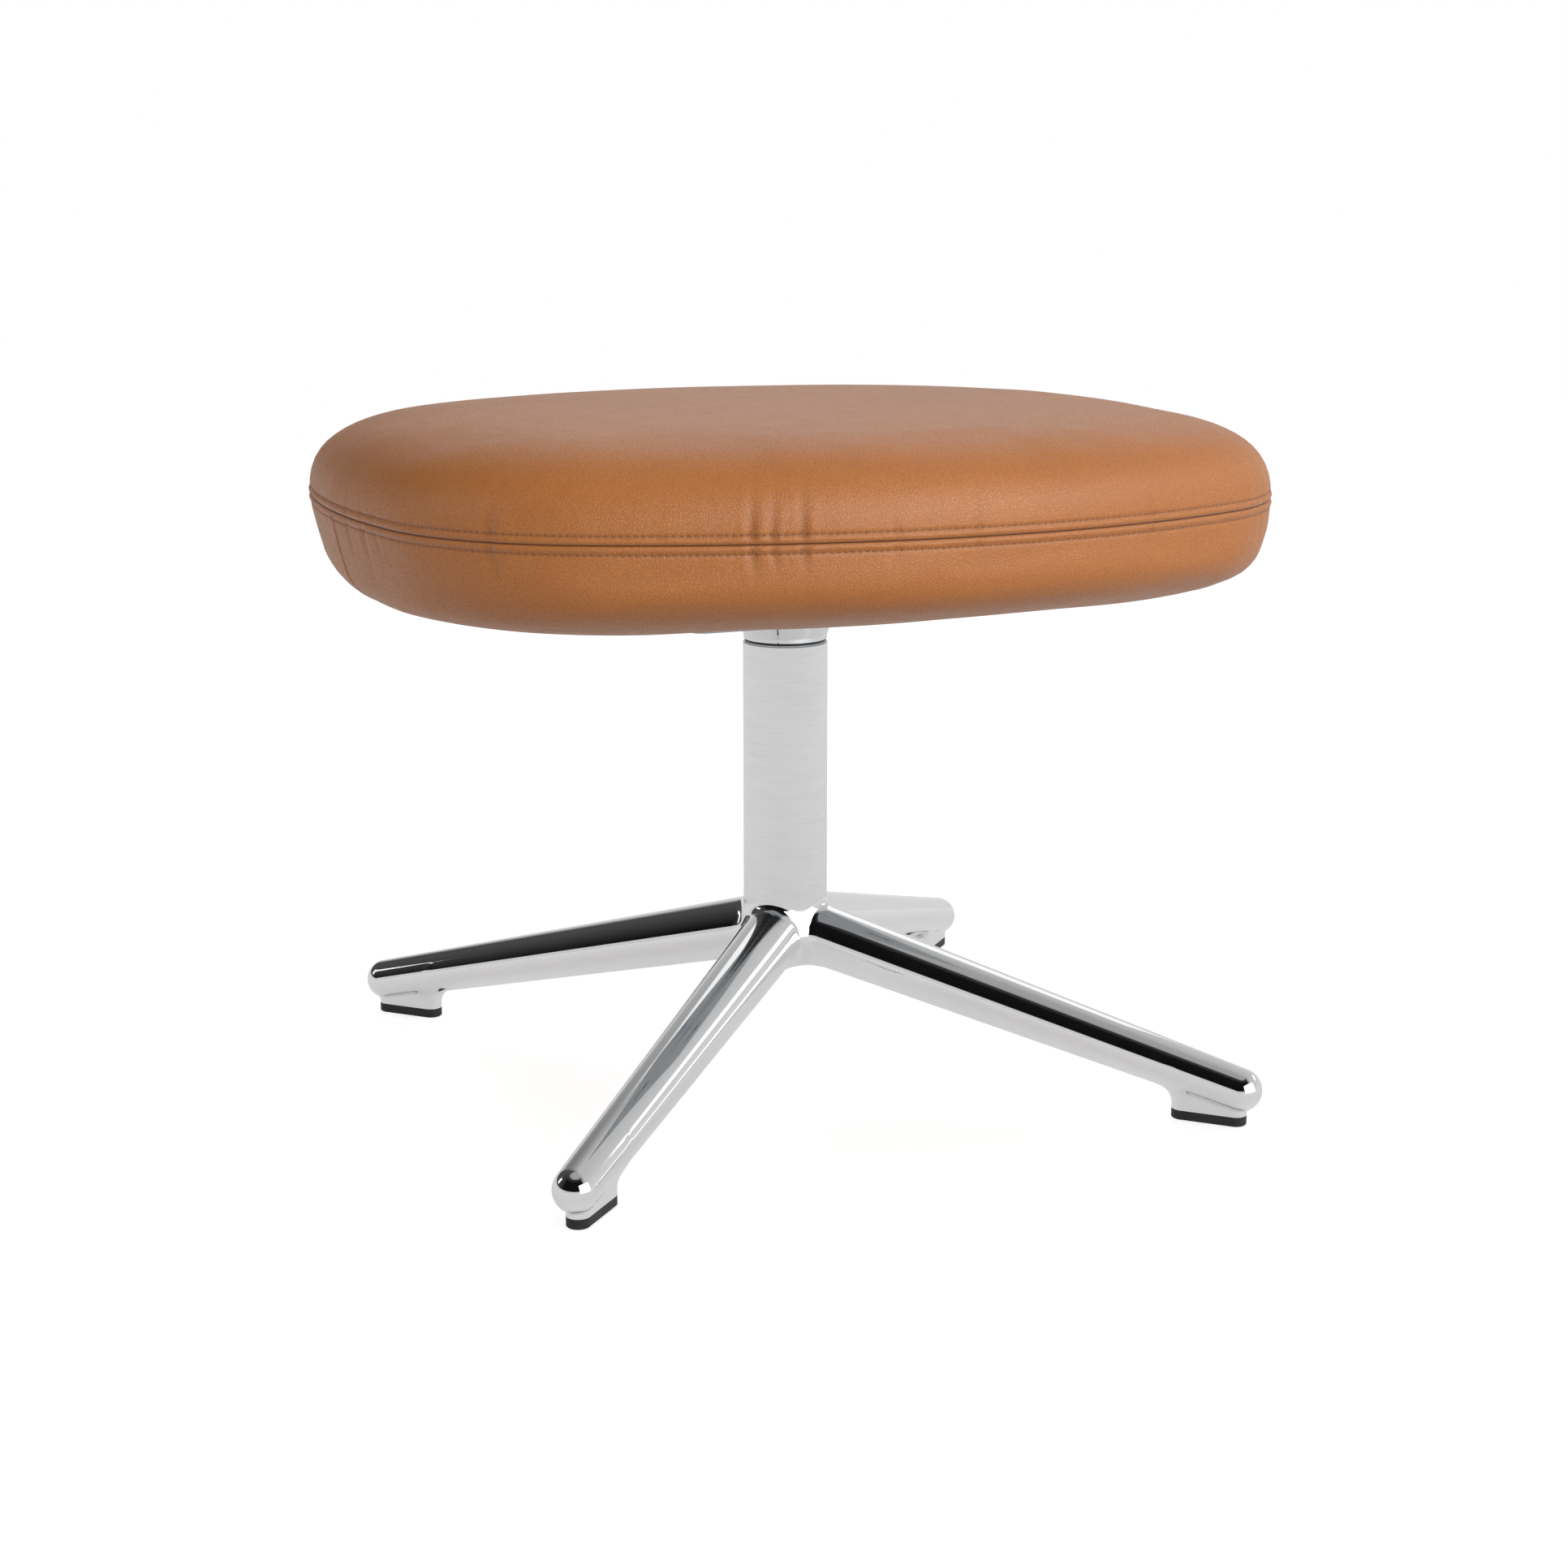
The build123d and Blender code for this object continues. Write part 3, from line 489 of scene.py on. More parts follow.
def band_faces(low, high):
    """Faces between two closed index rings; the second may have half as many points."""
    count = len(low)
    faces = []
    if len(high) == count:
        for i in range(count):
            j = (i + 1) % count
            faces.append((low[i], low[j], high[j], high[i]))
        return faces
    for j in range(len(high)):
        a, b, c = low[2 * j], low[2 * j + 1], low[(2 * j + 2) % count]
        k = high[(j + 1) % len(high)]
        faces.append((a, b, high[j]))
        faces.append((b, c, k, high[j]))
    return faces


class Shell:
    """Collects rings of points into one closed mesh."""

    def __init__(self):
        self.points, self.values, self.faces = [], [], []
        self.last = None
        self.first_count = 0

    def ring(self, points, values=None, stride=1):
        """Adds a ring, thinned by a stride, and joins it to the one before."""
        thin = points[::stride]
        first = len(self.points)
        self.points += [tuple(p) for p in thin]
        self.values += list(np.zeros(len(thin)) if values is None else values[::stride])
        index = list(range(first, first + len(thin)))
        if self.last is None:
            self.first_count = len(thin)
        else:
            if len(index) > len(self.last):
                self.faces += [face[::-1] for face in band_faces(index, self.last)]
            else:
                self.faces += band_faces(self.last, index)
        self.last = index

    def close(self, last_centre, first_centre):
        """Closes the last ring and the first ring, each on a centre point."""
        centre = len(self.points)
        self.points += [last_centre, first_centre]
        self.values += [0, 0]
        ends = self.last[1:] + self.last[:1]
        self.faces += [(a, b, centre) for a, b in zip(self.last, ends)]
        count = self.first_count
        self.faces += [((i + 1) % count, i, centre + 1) for i in range(count)]

    def object(self, name, attribute=None):
        """The collected mesh as an object with outward faces."""
        mesh = mesh_from(name, self.points, self.faces)
        work = bmesh.new()
        work.from_mesh(mesh)
        bmesh.ops.recalc_face_normals(work, faces=work.faces)
        work.to_mesh(mesh)
        work.free()
        mesh.shade_smooth()
        if attribute:
            layer = mesh.attributes.new(attribute, "FLOAT", "POINT")
            layer.data.foreach_set("value", np.array(self.values, dtype=float))
        return add_object(name, mesh)


def stride_for(span):
    """How far the points of a ring are thinned, from its share of the plan."""
    for limit, stride in ((0.5, 2), (0.27, 4), (0.13, 8)):
        if span > limit:
            return stride
    return 16


# ---- natural fullness, by cloth simulation ----
SIM_STRIDE = 8
SIM_STEPS = 20
CLOTH_SETTINGS = {
    "quality": 5, "mass": 0.6, "tension_stiffness": 40, "compression_stiffness": 25,
    "shear_stiffness": 20, "bending_stiffness": 6, "use_pressure": True,
    "uniform_pressure_force": 4, "vertex_group_mass": "held", "pin_stiffness": 1,
}
SIM_CAP = 5 * MM
SIM_WAVES = 12  # finer ripples than this many round the cushion are dropped
SIM_ROUGHNESS = 0.9 * MM  # unevenness that the panel starts with
FULLNESS = 0.35 * MM
SIM_RINGS = 44


def simulate(rings, pinned, seed):
    """Inflates a panel held at its pinned rings and returns how far each point moved out."""
    coarse = rings[:, ::SIM_STRIDE].copy()
    ring_count, around = coarse.shape[:2]
    random = np.random.default_rng(seed)
    turn = np.linspace(0, 2 * math.pi, around, endpoint=False)
    level = np.linspace(0, 1, ring_count)[:, None]
    rough = np.zeros((ring_count, around))
    for waves in range(3, 26):
        phase = random.uniform(0, 2 * math.pi, 2)
        lift = random.uniform(0.3, 1) / math.sqrt(waves)
        down = np.sin(waves * 0.35 * level * math.pi + phase[1])
        rough += lift * np.sin(waves * turn + phase[0]) * down
    hold = np.zeros(ring_count)
    hold[list(pinned)] = 1
    normals = ring_normals(coarse, rings[-1, 0, 2] > rings[0, 0, 2])
    start = coarse + normals * (SIM_ROUGHNESS * rough * (1 - hold)[:, None])[:, :, None]
    shell = Shell()
    for ring in start:
        shell.ring(ring)
    obj = add_object("sim_panel", mesh_from("sim_panel", shell.points, shell.faces))
    group = obj.vertex_groups.new(name="held")
    for ring in pinned:
        first = ring % ring_count * around
        group.add(list(range(first, first + around)), 1, "REPLACE")
    cloth = obj.modifiers.new("cloth", "CLOTH")
    for key, value in CLOTH_SETTINGS.items():
        setattr(cloth.settings, key, value)
    cloth.settings.effector_weights.gravity = 0
    cloth.collision_settings.use_collision = False
    cloth.point_cache.frame_start = 1
    cloth.point_cache.frame_end = SIM_STEPS
    for step in range(1, SIM_STEPS + 1):
        scene.frame_set(step)
    graph = bpy.context.evaluated_depsgraph_get()
    made = bpy.data.meshes.new_from_object(obj.evaluated_get(graph))
    moved = read(made.vertices, "co").reshape(ring_count, around, 3) - coarse
    scene.frame_set(1)
    bpy.data.objects.remove(obj)
    bpy.data.meshes.remove(made)
    return np.clip((moved * normals).sum(2), -SIM_CAP, SIM_CAP)


def spread(values, count):
    """Resamples closed rows of values to count columns without ripples."""
    spectrum = np.fft.rfft(values, axis=1)
    padded = np.zeros((len(values), count // 2 + 1), complex)
    padded[:, :SIM_WAVES] = spectrum[:, :SIM_WAVES]
    return np.fft.irfft(padded, count, axis=1) * count / values.shape[1]


def fullness(rings, pinned, seed):
    """Relief of a stuffed panel, with no change to its mean section."""
    every = np.linspace(0, len(rings) - 1, min(len(rings), SIM_RINGS))
    pick = np.unique(np.round(every).astype(int))
    outward = simulate(rings[pick], pinned, seed)
    outward -= outward.mean(1, keepdims=True)
    wide = spread(outward, AROUND)
    wide = FULLNESS * np.tanh(wide / (2 * FULLNESS))
    rows = np.arange(len(rings))
    return np.array([np.interp(rows, pick, wide[:, i]) for i in range(AROUND)]).T


# ---- leather covers ----
def top_shares():
    """Plan shares of the top cover's rings, close together at the seam."""
    gap = np.geomspace(1e-12, 1, 8000)
    u = np.concatenate([[1], 1 - gap])
    inset = HALF_DEPTH * (1 - u)
    rise = CROWN_RISE * (1 - np.clip(u, 0, 1) ** CROWN_FLATNESS) ** (1 / CROWN_SHOULDER)
    length = np.concatenate([[0], np.cumsum(np.hypot(np.diff(inset), np.diff(rise)))])
    far = np.arange(FAR_START, length[-1] - 4 * MM, 5.2 * MM)
    runs = np.concatenate([NEAR_RUNS, far])
    return np.clip(np.interp(runs, length, u), 0, 1)


def turn_in(shell, ring, normals, upward):
    """Adds the seam allowance, which runs from inside the cushion out to the seam."""
    inset = ring + normals * -ALLOWANCE
    for rise, stride in ((ALLOWANCE_RISE, 2), (SEAM_GAP, 1)):
        shell.ring(inset + [0, 0, rise if upward else -rise], stride=stride)


def make_top():
    """Upper leather cover with its rolled seam edge, and the line of its stitches."""
    shares = top_shares()
    rings = crown_rings(shares)
    runs = run_lengths(rings)
    runs[:NEAR] = NEAR_RUNS
    normals = ring_normals(rings, True)
    relief, crease_shade = sewing_relief(runs, True)
    soft = fullness(rings, (0,), 11) * smooth_step(3 * MM, 30 * MM, runs)[:, None]
    outer = rings + normals * (relief + soft)[:, :, None]
    outer[0, :, 2] += SEAM_GAP
    inner = rings + normals * (np.minimum(soft, 0) - LEATHER)[:, :, None]
    shell = Shell()
    shell.ring(inner[-1], stride=16)
    for row in (*range(len(rings) - 4, NEAR, -4), NEAR - 1, INNER_FIRST):
        stride = max(stride_for(shares[row]), 4) if row > INNER_FIRST else 4
        shell.ring(inner[row], stride=stride)
    turn_in(shell, rings[0], normals[0], True)
    for row in range(len(rings)):
        # the outer rings carry the painted-shade mask as a mesh attribute
        shell.ring(outer[row], crease_shade[row], 1 if row < NEAR else stride_for(shares[row]))
    middle = SEAM_HEIGHT + CROWN_RISE
    shell.close((0, 0, middle), (0, 0, middle - LEATHER))
    return shell.object("top_leather", "crease_shade"), (outer[STITCH_RING], normals[STITCH_RING])


def make_side():
    """Lower leather cover with its end seam and hem, and the line of its stitches."""
    near = NEAR_RUNS / BOWL_DROP
    side = np.arange(FAR_START, 44 * MM, 3 * MM) / BOWL_DROP
    rim = [0.86, 0.89, 0.92, 0.945, 0.965, 0.98, 0.989, 0.9945, 0.9975, 0.999, 0.9997, 0.99995, 1]
    shares = np.concatenate([near, side, rim, np.linspace(1.2, 2, 5), np.linspace(2.25, 3, 4)])
    rings = bowl_rings(shares)
    runs = run_lengths(rings)
    runs[:NEAR] = NEAR_RUNS
    normals = ring_normals(rings, False)
    relief, crease_shade = sewing_relief(runs, False)
    end = seam_offsets(END_SEAM_ANGLE)[None, :]
    fade = smooth_step(1.5 * MM, 3.5 * MM, runs)[:, None]
    relief += fade * END_RIDGE * bell(np.abs(end) - END_RIDGE_AT, END_RIDGE_WIDTH)
    relief -= fade * END_GROOVE * bell(end, END_GROOVE_WIDTH)
    # painted shade along the groove of the end seam
    crease_shade = np.clip(crease_shade + fade * 0.95 * bell(end, END_SHADE_WIDTH), 0, 1)
    settle = 1 - smooth_step(0.92, 1.2, shares)
    soft = fullness(rings[: np.argmax(shares > 1.9)], (0, -1), 12)
    full = np.zeros(rings.shape[:2])
    full[: len(soft)] = soft
    full *= (smooth_step(3 * MM, 18 * MM, runs) * (0.25 + 0.75 * settle))[:, None]
    relief *= settle[:, None]
    outer = rings + normals * (relief + full)[:, :, None]
    outer[0, :, 2] -= SEAM_GAP
    inner = rings + normals * (np.minimum(full, 0) - LEATHER)[:, :, None]
    shell = Shell()
    rows = len(shares)
    for row in (rows - 1, *range(rows - 4, NEAR, -3), NEAR - 1, INNER_FIRST):
        shell.ring(inner[row], stride=4)
    turn_in(shell, rings[0], normals[0], False)
    for row in range(rows):
        # the outer rings carry the painted-shade mask as a mesh attribute
        shell.ring(outer[row], crease_shade[row], 1 if row < NEAR else 2 if shares[row] <= 1 else 4)
    shell.faces += band_faces(shell.last, list(range(shell.first_count)))
    return shell.object("side_leather", "crease_shade"), (outer[STITCH_RING], normals[STITCH_RING])


def make_stitches(name, line, normals):
    """A row of thread stitches that dip into their holes."""
    sides, rings = 6, 9
    points, faces = [], []
    index = np.arange(AROUND + 1)
    closed = np.vstack([line, line[:1]])
    closed_normals = np.vstack([normals, normals[:1]])
    for stitch in range(STITCHES):
        reach = np.linspace(-1, 1, rings)
        at = PITCH * (stitch + 0.5 + reach * THREAD_REACH)
        spine = np.stack([np.interp(at, index, closed[:, axis]) for axis in range(3)], 1)
        out = np.stack([np.interp(at, index, closed_normals[:, axis]) for axis in range(3)], 1)
        lift = (0.62 - 1.5 * np.abs(reach) ** 3.2) * THREAD_RADIUS + HOLE_DIP * 0.35
        spine = spine + out * lift[:, None]
        along = np.gradient(spine, axis=0)
        along /= np.linalg.norm(along, axis=1)[:, None]
        side = np.cross(along, out)
        girth = THREAD_RADIUS * np.sqrt(np.clip(1.02 - np.abs(reach) ** 4, 0.06, 1))
        faces += tube_faces(len(points), sides, rings)
        for k in range(rings):
            for j in range(sides):
                turn = 2 * math.pi * j / sides
                way = math.cos(turn) * side[k] + math.sin(turn) * out[k] * 0.8
                points.append(spine[k] + girth[k] * way)
    mesh = mesh_from(name, points, faces)
    mesh.shade_smooth()
    return add_object(name, mesh)


def make_foam():
    """Moulded foam block inside the covers, with the pocket for the board."""
    up = crown_rings(np.concatenate([np.linspace(1, 0.94, 12), np.linspace(0.9, 0.1, 12)]))
    rim = [0.92, 0.96, 0.985, 0.997, 1]
    down = bowl_rings(np.concatenate([np.linspace(0.05, 0.85, 10), rim, [1.3, 1.7, 2]]))
    down_normals = ring_normals(down, False)
    pocket_top = BOARD_TOP + 0.2 * MM
    floor_height = HEM_HEIGHT + LEATHER + 0.4 * MM
    shell = Shell()
    shell.ring(plan_ring(HALF_LENGTH * 0.8, HALF_DEPTH * 0.8, pocket_top), stride=8)
    for height in (pocket_top, floor_height):
        shell.ring(plan_ring(*BOARD_INSETS, height), stride=8)
    for ring, normal in zip(down[::-1][1:], down_normals[::-1][1:]):
        inside = ring - normal * FOAM_GAP
        inside[:, 2] = np.maximum(inside[:, 2], floor_height)
        shell.ring(inside, stride=8)
    for ring, normal in zip(up, ring_normals(up, True)):
        shell.ring(ring - normal * FOAM_GAP, stride=8)
    shell.close((0, 0, SEAM_HEIGHT + CROWN_RISE - FOAM_GAP), (0, 0, pocket_top))
    return shell.object("foam_block")


def make_dust_cloth():
    """Thin black cloth under the board, flat at its edge and slack between there and the plate."""
    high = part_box("dust_cover")[1]
    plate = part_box("mounting_plate")[1].x
    insets = (HALF_LENGTH - high.x, HALF_DEPTH - high.y)
    lower = high.z - CLOTH_THICKNESS
    steps = np.concatenate([[0, 0.004, 0.03, 0.06, 0.075, 0.09], np.linspace(0.12, 0.95, 22)])
    shell = Shell()
    for base, order in ((high.z, steps[::-1]), (lower, steps)):
        for step in order:
            ring = plan_ring(insets[0] + high.x * step, insets[1] + high.y * step, 0)
            x, y = np.abs(ring[:, 0]), np.abs(ring[:, 1])
            beyond = np.maximum(np.maximum(x, y) - plate - 3 * MM, 0)
            edge = np.minimum(high.x - x, high.y - y)
            slack = np.clip(beyond / (10 * MM), 0, 1) * smooth_step(4 * MM, 16 * MM, edge)
            ripple = 0.6 + 0.4 * np.sin(ring[:, 0] * 160 + np.sin(ring[:, 1] * 90))
            ring[:, 2] = base - CLOTH_SLACK * slack * ripple
            shell.ring(ring, stride=8)
    shell.close((0, 0, lower), (0, 0, high.z))
    return shell.object("dust_cloth"), (2 * high.x, 2 * high.y)


# ---- materials ----
def new_material(name, **sockets):
    """Principled material with constant sockets set directly; returns it, its tree and shader."""
    material = bpy.data.materials.new(name)
    material.use_nodes = True
    tree = material.node_tree
    shader = tree.nodes["Principled BSDF"]
    for key, value in sockets.items():
        shader.inputs[key.replace("_", " ")].default_value = value
    return material, tree, shader


def node(tree, kind, inputs=None, **settings):
    """Adds a shader node; inputs may be values or output sockets."""
    made = tree.nodes.new("ShaderNode" + kind)
    for key, value in settings.items():
        setattr(made, key, value)
    for key, value in (inputs or {}).items():
        if isinstance(value, bpy.types.NodeSocket):
            tree.links.new(value, made.inputs[key])
        else:
            made.inputs[key].default_value = value
    return made


def wire(shader, **sockets):
    """Links outputs to the shader's sockets."""
    for key, value in sockets.items():
        shader.id_data.links.new(value, shader.inputs[key.replace("_", " ")])


def vector(tree, operation, first, second=(0, 0, 0), output="Vector"):
    """One step of vector math."""
    made = node(tree, "VectorMath", {0: first, 1: second}, operation=operation)
    return made.outputs[output]


def place(tree, scale=(1, 1, 1)):
    """Object position in metres, stretched by a scale."""
    return vector(tree, "MULTIPLY", node(tree, "TexCoord").outputs["Object"], scale)


def noise(tree, where, scale, detail=2, roughness=0.5, distortion=0):
    """Noise texture's value."""
    inputs = {"Vector": where, "Scale": scale, "Detail": detail, "Roughness": roughness}
    inputs["Distortion"] = distortion
    return node(tree, "TexNoise", inputs).outputs["Fac"]


def remap(tree, value, low, high, to_low=0, to_high=1, smooth_out=False):
    """Maps a value from one range to another, clamped."""
    made = node(tree, "MapRange", {0: value, 1: low, 2: high, 3: to_low, 4: to_high})
    made.interpolation_type = "SMOOTHSTEP" if smooth_out else "LINEAR"
    return made.outputs["Result"]


def blend(tree, factor, first, second):
    """Mixes two colours."""
    inputs = {0: factor, 6: first, 7: second}
    for index in (6, 7):
        if not isinstance(inputs[index], bpy.types.NodeSocket):
            inputs[index] = (*inputs[index], 1)
    return node(tree, "Mix", inputs, data_type="RGBA").outputs[2]


def calculate(tree, operation, first, second):
    """One math step on two values."""
    return node(tree, "Math", {0: first, 1: second}, operation=operation).outputs[0]


def times(tree, value, factor):
    """A value times a constant."""
    return calculate(tree, "MULTIPLY", value, factor)


def mix_shaders(tree, factor, first, second):
    """Mixes two shaders."""
    made = node(tree, "MixShader")
    for index, value in enumerate((factor, first.outputs[0], second.outputs[0])):
        tree.links.new(value, made.inputs[index])
    return made


def bump(shader, height, strength, distance):
    """Drives the shader's normal from a height."""
    inputs = {"Height": height, "Strength": strength, "Distance": distance}
    wire(shader, Normal=node(shader.id_data, "Bump", inputs).outputs["Normal"])


def leather():
    """Pebble-grained, lightly waxed tan leather, with painted shade in its grain's valleys, seam
    groove, stitch holes and puckers.
    """
    material, tree, shader = new_material(
        "tan_leather", Specular_IOR_Level=0.68, Sheen_Weight=0.02, Sheen_Roughness=0.4,
    )
    where = place(tree)
    warp = node(tree, "TexNoise", {"Vector": where, "Scale": 420.0, "Detail": 2.0})
    shift = vector(tree, "MULTIPLY", warp.outputs["Color"], (0.0009,) * 3)
    drawn = vector(tree, "MULTIPLY", vector(tree, "ADD", where, shift), (1, 1, 0.6))
    cells = node(
        tree, "TexVoronoi", {"Vector": drawn, "Scale": 880.0}, feature="DISTANCE_TO_EDGE",
    ).outputs["Distance"]
    pebble = remap(tree, cells, 0.0, 0.34, smooth_out=True)
    wrinkle = noise(tree, where, 1500.0, 2)
    hide = noise(tree, where, 9.0, 4, 0.6)
    mottle = noise(tree, where, 70.0, 3, 0.6)
    crease_shade = node(tree, "Attribute", attribute_name="crease_shade").outputs["Fac"]
    tone = blend(tree, remap(tree, hide, 0.3, 0.7), (0.455, 0.145, 0.020), (0.51, 0.175, 0.030))
    tone = blend(tree, remap(tree, mottle, 0.35, 0.8, 0, 0.3), tone, (0.54, 0.203, 0.042))
    # painted shade: the pebble grain's valleys are darkened in colour and made rougher
    valley_shade = times(tree, remap(tree, pebble, 0.0, 0.6, 1, 0), 0.52)
    tone = blend(tree, valley_shade, tone, (0.31, 0.094, 0.018))
    # painted shade: near-black brown in the seam groove, stitch holes and pucker folds from the
    # mesh's mask, which also makes them fully rough below
    tone = blend(tree, times(tree, crease_shade, 0.85), tone, (0.11, 0.028, 0.006))
    rough = remap(tree, mottle, 0.3, 0.7, 0.33, 0.40)
    rough = calculate(tree, "ADD", rough, times(tree, valley_shade, 0.3))
    rough = calculate(tree, "MAXIMUM", rough, crease_shade)
    wire(shader, Base_Color=tone, Roughness=rough)
    height = calculate(tree, "ADD", pebble, times(tree, wrinkle, 0.35))
    bump(shader, height, 0.8, 0.00012)
    return material


def thread():
    """Twisted tan sewing thread."""
    material, tree, shader = new_material(
        "tan_thread", Sheen_Weight=0.2, Sheen_Roughness=0.4, Roughness=0.55,
    )
    fibre = noise(tree, place(tree), 5200.0, 2)
    wire(shader, Base_Color=blend(tree, fibre, (0.24, 0.084, 0.022), (0.40, 0.148, 0.042)))
    bump(shader, fibre, 0.4, 0.0001)
    return material


def polished():
    """Buffed cast aluminium: mirror bright with faint wheel marks across the legs."""
    material, tree, shader = new_material("polished_cast", Metallic=1.0)
    where = node(tree, "TexCoord").outputs["Object"]
    reach = vector(tree, "LENGTH", vector(tree, "MULTIPLY", where, (1, 1, 0)), output="Value")
    height = node(tree, "SeparateXYZ", {0: where}).outputs["Z"]
    along = node(tree, "CombineXYZ", {"X": reach, "Y": times(tree, height, 0.12)})
    wheel = noise(tree, along.outputs[0], 1400.0, 3, 0.6)
    haze = noise(tree, where, 38.0, 4, 0.6)
    tone = blend(tree, haze, (0.86, 0.865, 0.875), (0.92, 0.925, 0.93))
    rough = remap(tree, wheel, 0.35, 0.7, 0.03, 0.075)
    rough = calculate(tree, "ADD", rough, remap(tree, haze, 0.45, 0.75, 0, 0.035))
    wire(shader, Base_Color=tone, Roughness=rough)
    bump(shader, wheel, 0.05, 0.00002)
    return material


def brushed(name, low, high, rough_low, rough_high, density, strength):
    """Metal brushed round the Z axis."""
    material, tree, shader = new_material(name, Metallic=1.0, Anisotropic=0.45)
    fine = noise(tree, place(tree, (22, 22, density)), 1.0, 4, 0.65)
    coarse = noise(tree, place(tree, (60, 60, density / 7)), 1.0, 2)
    cloud = noise(tree, place(tree), 26.0, 3)
    lines = calculate(tree, "ADD", times(tree, fine, 0.7), times(tree, coarse, 0.3))
    tone = blend(tree, remap(tree, lines, 0.32, 0.68), low, high)
    tone = blend(tree, remap(tree, cloud, 0.4, 0.8, 0, 0.3), tone, high)
    rough = remap(tree, lines, 0.3, 0.7, rough_low, rough_high)
    wire(shader, Base_Color=tone, Roughness=rough)
    bump(shader, lines, strength, 0.00005)
    return material


def coated(name, low, high, rough_low, rough_high, grain, strength, depth, **sockets):
    """Moulded, painted or plated surface with its own fine texture and tone."""
    material, tree, shader = new_material(name, **sockets)
    where = place(tree)
    fine = noise(tree, where, grain, 3, 0.6)
    broad = noise(tree, where, grain / 24, 3)
    tone = blend(tree, remap(tree, broad, 0.3, 0.7), low, high)
    rough = remap(tree, fine, 0.3, 0.7, rough_low, rough_high)
    wire(shader, Base_Color=tone, Roughness=rough)
    bump(shader, fine, strength, depth)
    return material


def plywood():
    """Birch plywood: long grain on its faces and thin veneers at its edges."""
    material, tree, shader = new_material("birch_plywood", Roughness=0.6)
    grain = noise(tree, place(tree, (12, 160, 12)), 1.0, 5, 0.6, 0.6)
    height = node(tree, "SeparateXYZ", {0: place(tree)}).outputs["Z"]
    veneer = calculate(tree, "FRACT", times(tree, height, 330.0), 0.0)
    tone = blend(tree, remap(tree, grain, 0.3, 0.7), (0.46, 0.30, 0.16), (0.68, 0.50, 0.31))
    tone = blend(tree, remap(tree, veneer, 0.45, 0.55, 0, 0.35), tone, (0.30, 0.18, 0.09))
    wire(shader, Base_Color=tone)
    bump(shader, grain, 0.3, 0.0002)
    return material


def cloth():
    """Black spun-bonded cloth with its pressed dots."""
    material, tree, shader = new_material(
        "black_spunbond", Roughness=0.85, Sheen_Weight=0.3, Sheen_Roughness=0.5,
    )
    where = place(tree)
    inputs = {"Vector": where, "Scale": 700.0, "Randomness": 0.15}
    dots = node(tree, "TexVoronoi", inputs)
    pressed = remap(tree, dots.outputs["Distance"], 0.2, 0.45, smooth_out=True)
    fibre = noise(tree, where, 2600.0, 3, 0.7)
    tone = blend(tree, fibre, (0.010, 0.010, 0.011), (0.034, 0.034, 0.036))
    tone = blend(tree, times(tree, pressed, 0.4), tone, (0.045, 0.045, 0.047))
    wire(shader, Base_Color=tone)
    height = calculate(tree, "ADD", pressed, times(tree, fibre, 0.5))
    bump(shader, height, 0.5, 0.0002)
    return material


def foam():
    """Open-cell polyurethane foam."""
    material, tree, shader = new_material("cream_foam", Roughness=0.9, Subsurface_Weight=0.1)
    inputs = {"Vector": place(tree), "Scale": 900.0}
    cells = node(tree, "TexVoronoi", inputs).outputs["Distance"]
    tone = blend(tree, remap(tree, cells, 0.1, 0.7), (0.88, 0.84, 0.66), (0.62, 0.56, 0.38))
    wire(shader, Base_Color=tone)
    bump(shader, cells, 0.7, 0.0005)
    return material


FINISHES = {
    "leather": leather(),
    "polished_aluminium": polished(),
    "brushed_column": brushed(
        "brushed_tube", (0.79, 0.795, 0.805), (0.93, 0.935, 0.945), 0.20, 0.30, 2800, 0.25,
    ),
    "satin_aluminium": brushed(
        "satin_turned", (0.74, 0.75, 0.76), (0.82, 0.83, 0.84), 0.16, 0.26, 4200, 0.12,
    ),
    "plate_grey": coated(
        "grey_powder_coat", (0.60, 0.64, 0.68), (0.66, 0.70, 0.74), 0.38, 0.52,
        1500.0, 0.25, 0.0001,
    ),
    "black_plastic": coated(
        "black_nylon", (0.009, 0.009, 0.009), (0.017, 0.017, 0.017), 0.45, 0.62,
        3000.0, 0.3, 0.0001,
    ),
    "zinc_steel": coated(
        "zinc_plate", (0.50, 0.51, 0.53), (0.64, 0.65, 0.66), 0.22, 0.38,
        1800.0, 0.1, 0.00005, Metallic=1.0,
    ),
    "plywood": plywood(),
    "foam": foam(),
    "black_cloth": cloth(),
}

for part in parts.values():
    for held in part.material_slots:
        held.material = FINISHES[held.material.name.split(".")[0]]


def dress(obj, body, slot, finish=None):
    """Puts a new piece on its body and gives it the slot's finish, or the finish given."""
    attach(obj, body)
    obj.data.materials.clear()
    obj.data.materials.append(finish or FINISHES[slot])


# ---- the pieces ----
casting = make_casting()
dress(casting, "base", "polished_aluminium")
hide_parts("star_base")

top, top_row = make_top()
side, side_row = make_side()
dress(top, "seat", "leather")
dress(side, "seat", "leather")
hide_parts("top_cover")
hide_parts("side_cover")

THREAD = thread()
HIDDEN_IN_SEAT = ("seat_board", "plate_screws", "plate_washers", "tee_nuts", "staples")
threads = []
for name, row in (("upper_topstitch", top_row), ("lower_topstitch", side_row)):
    threads.append(make_stitches(name, *row))
    dress(threads[-1], "seat", "leather", THREAD)

foam_block = make_foam()
dress(foam_block, "seat", "foam")
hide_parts("foam_core")

dust, dust_size = make_dust_cloth()
dress(dust, "seat", "black_cloth")
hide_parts("dust_cover")

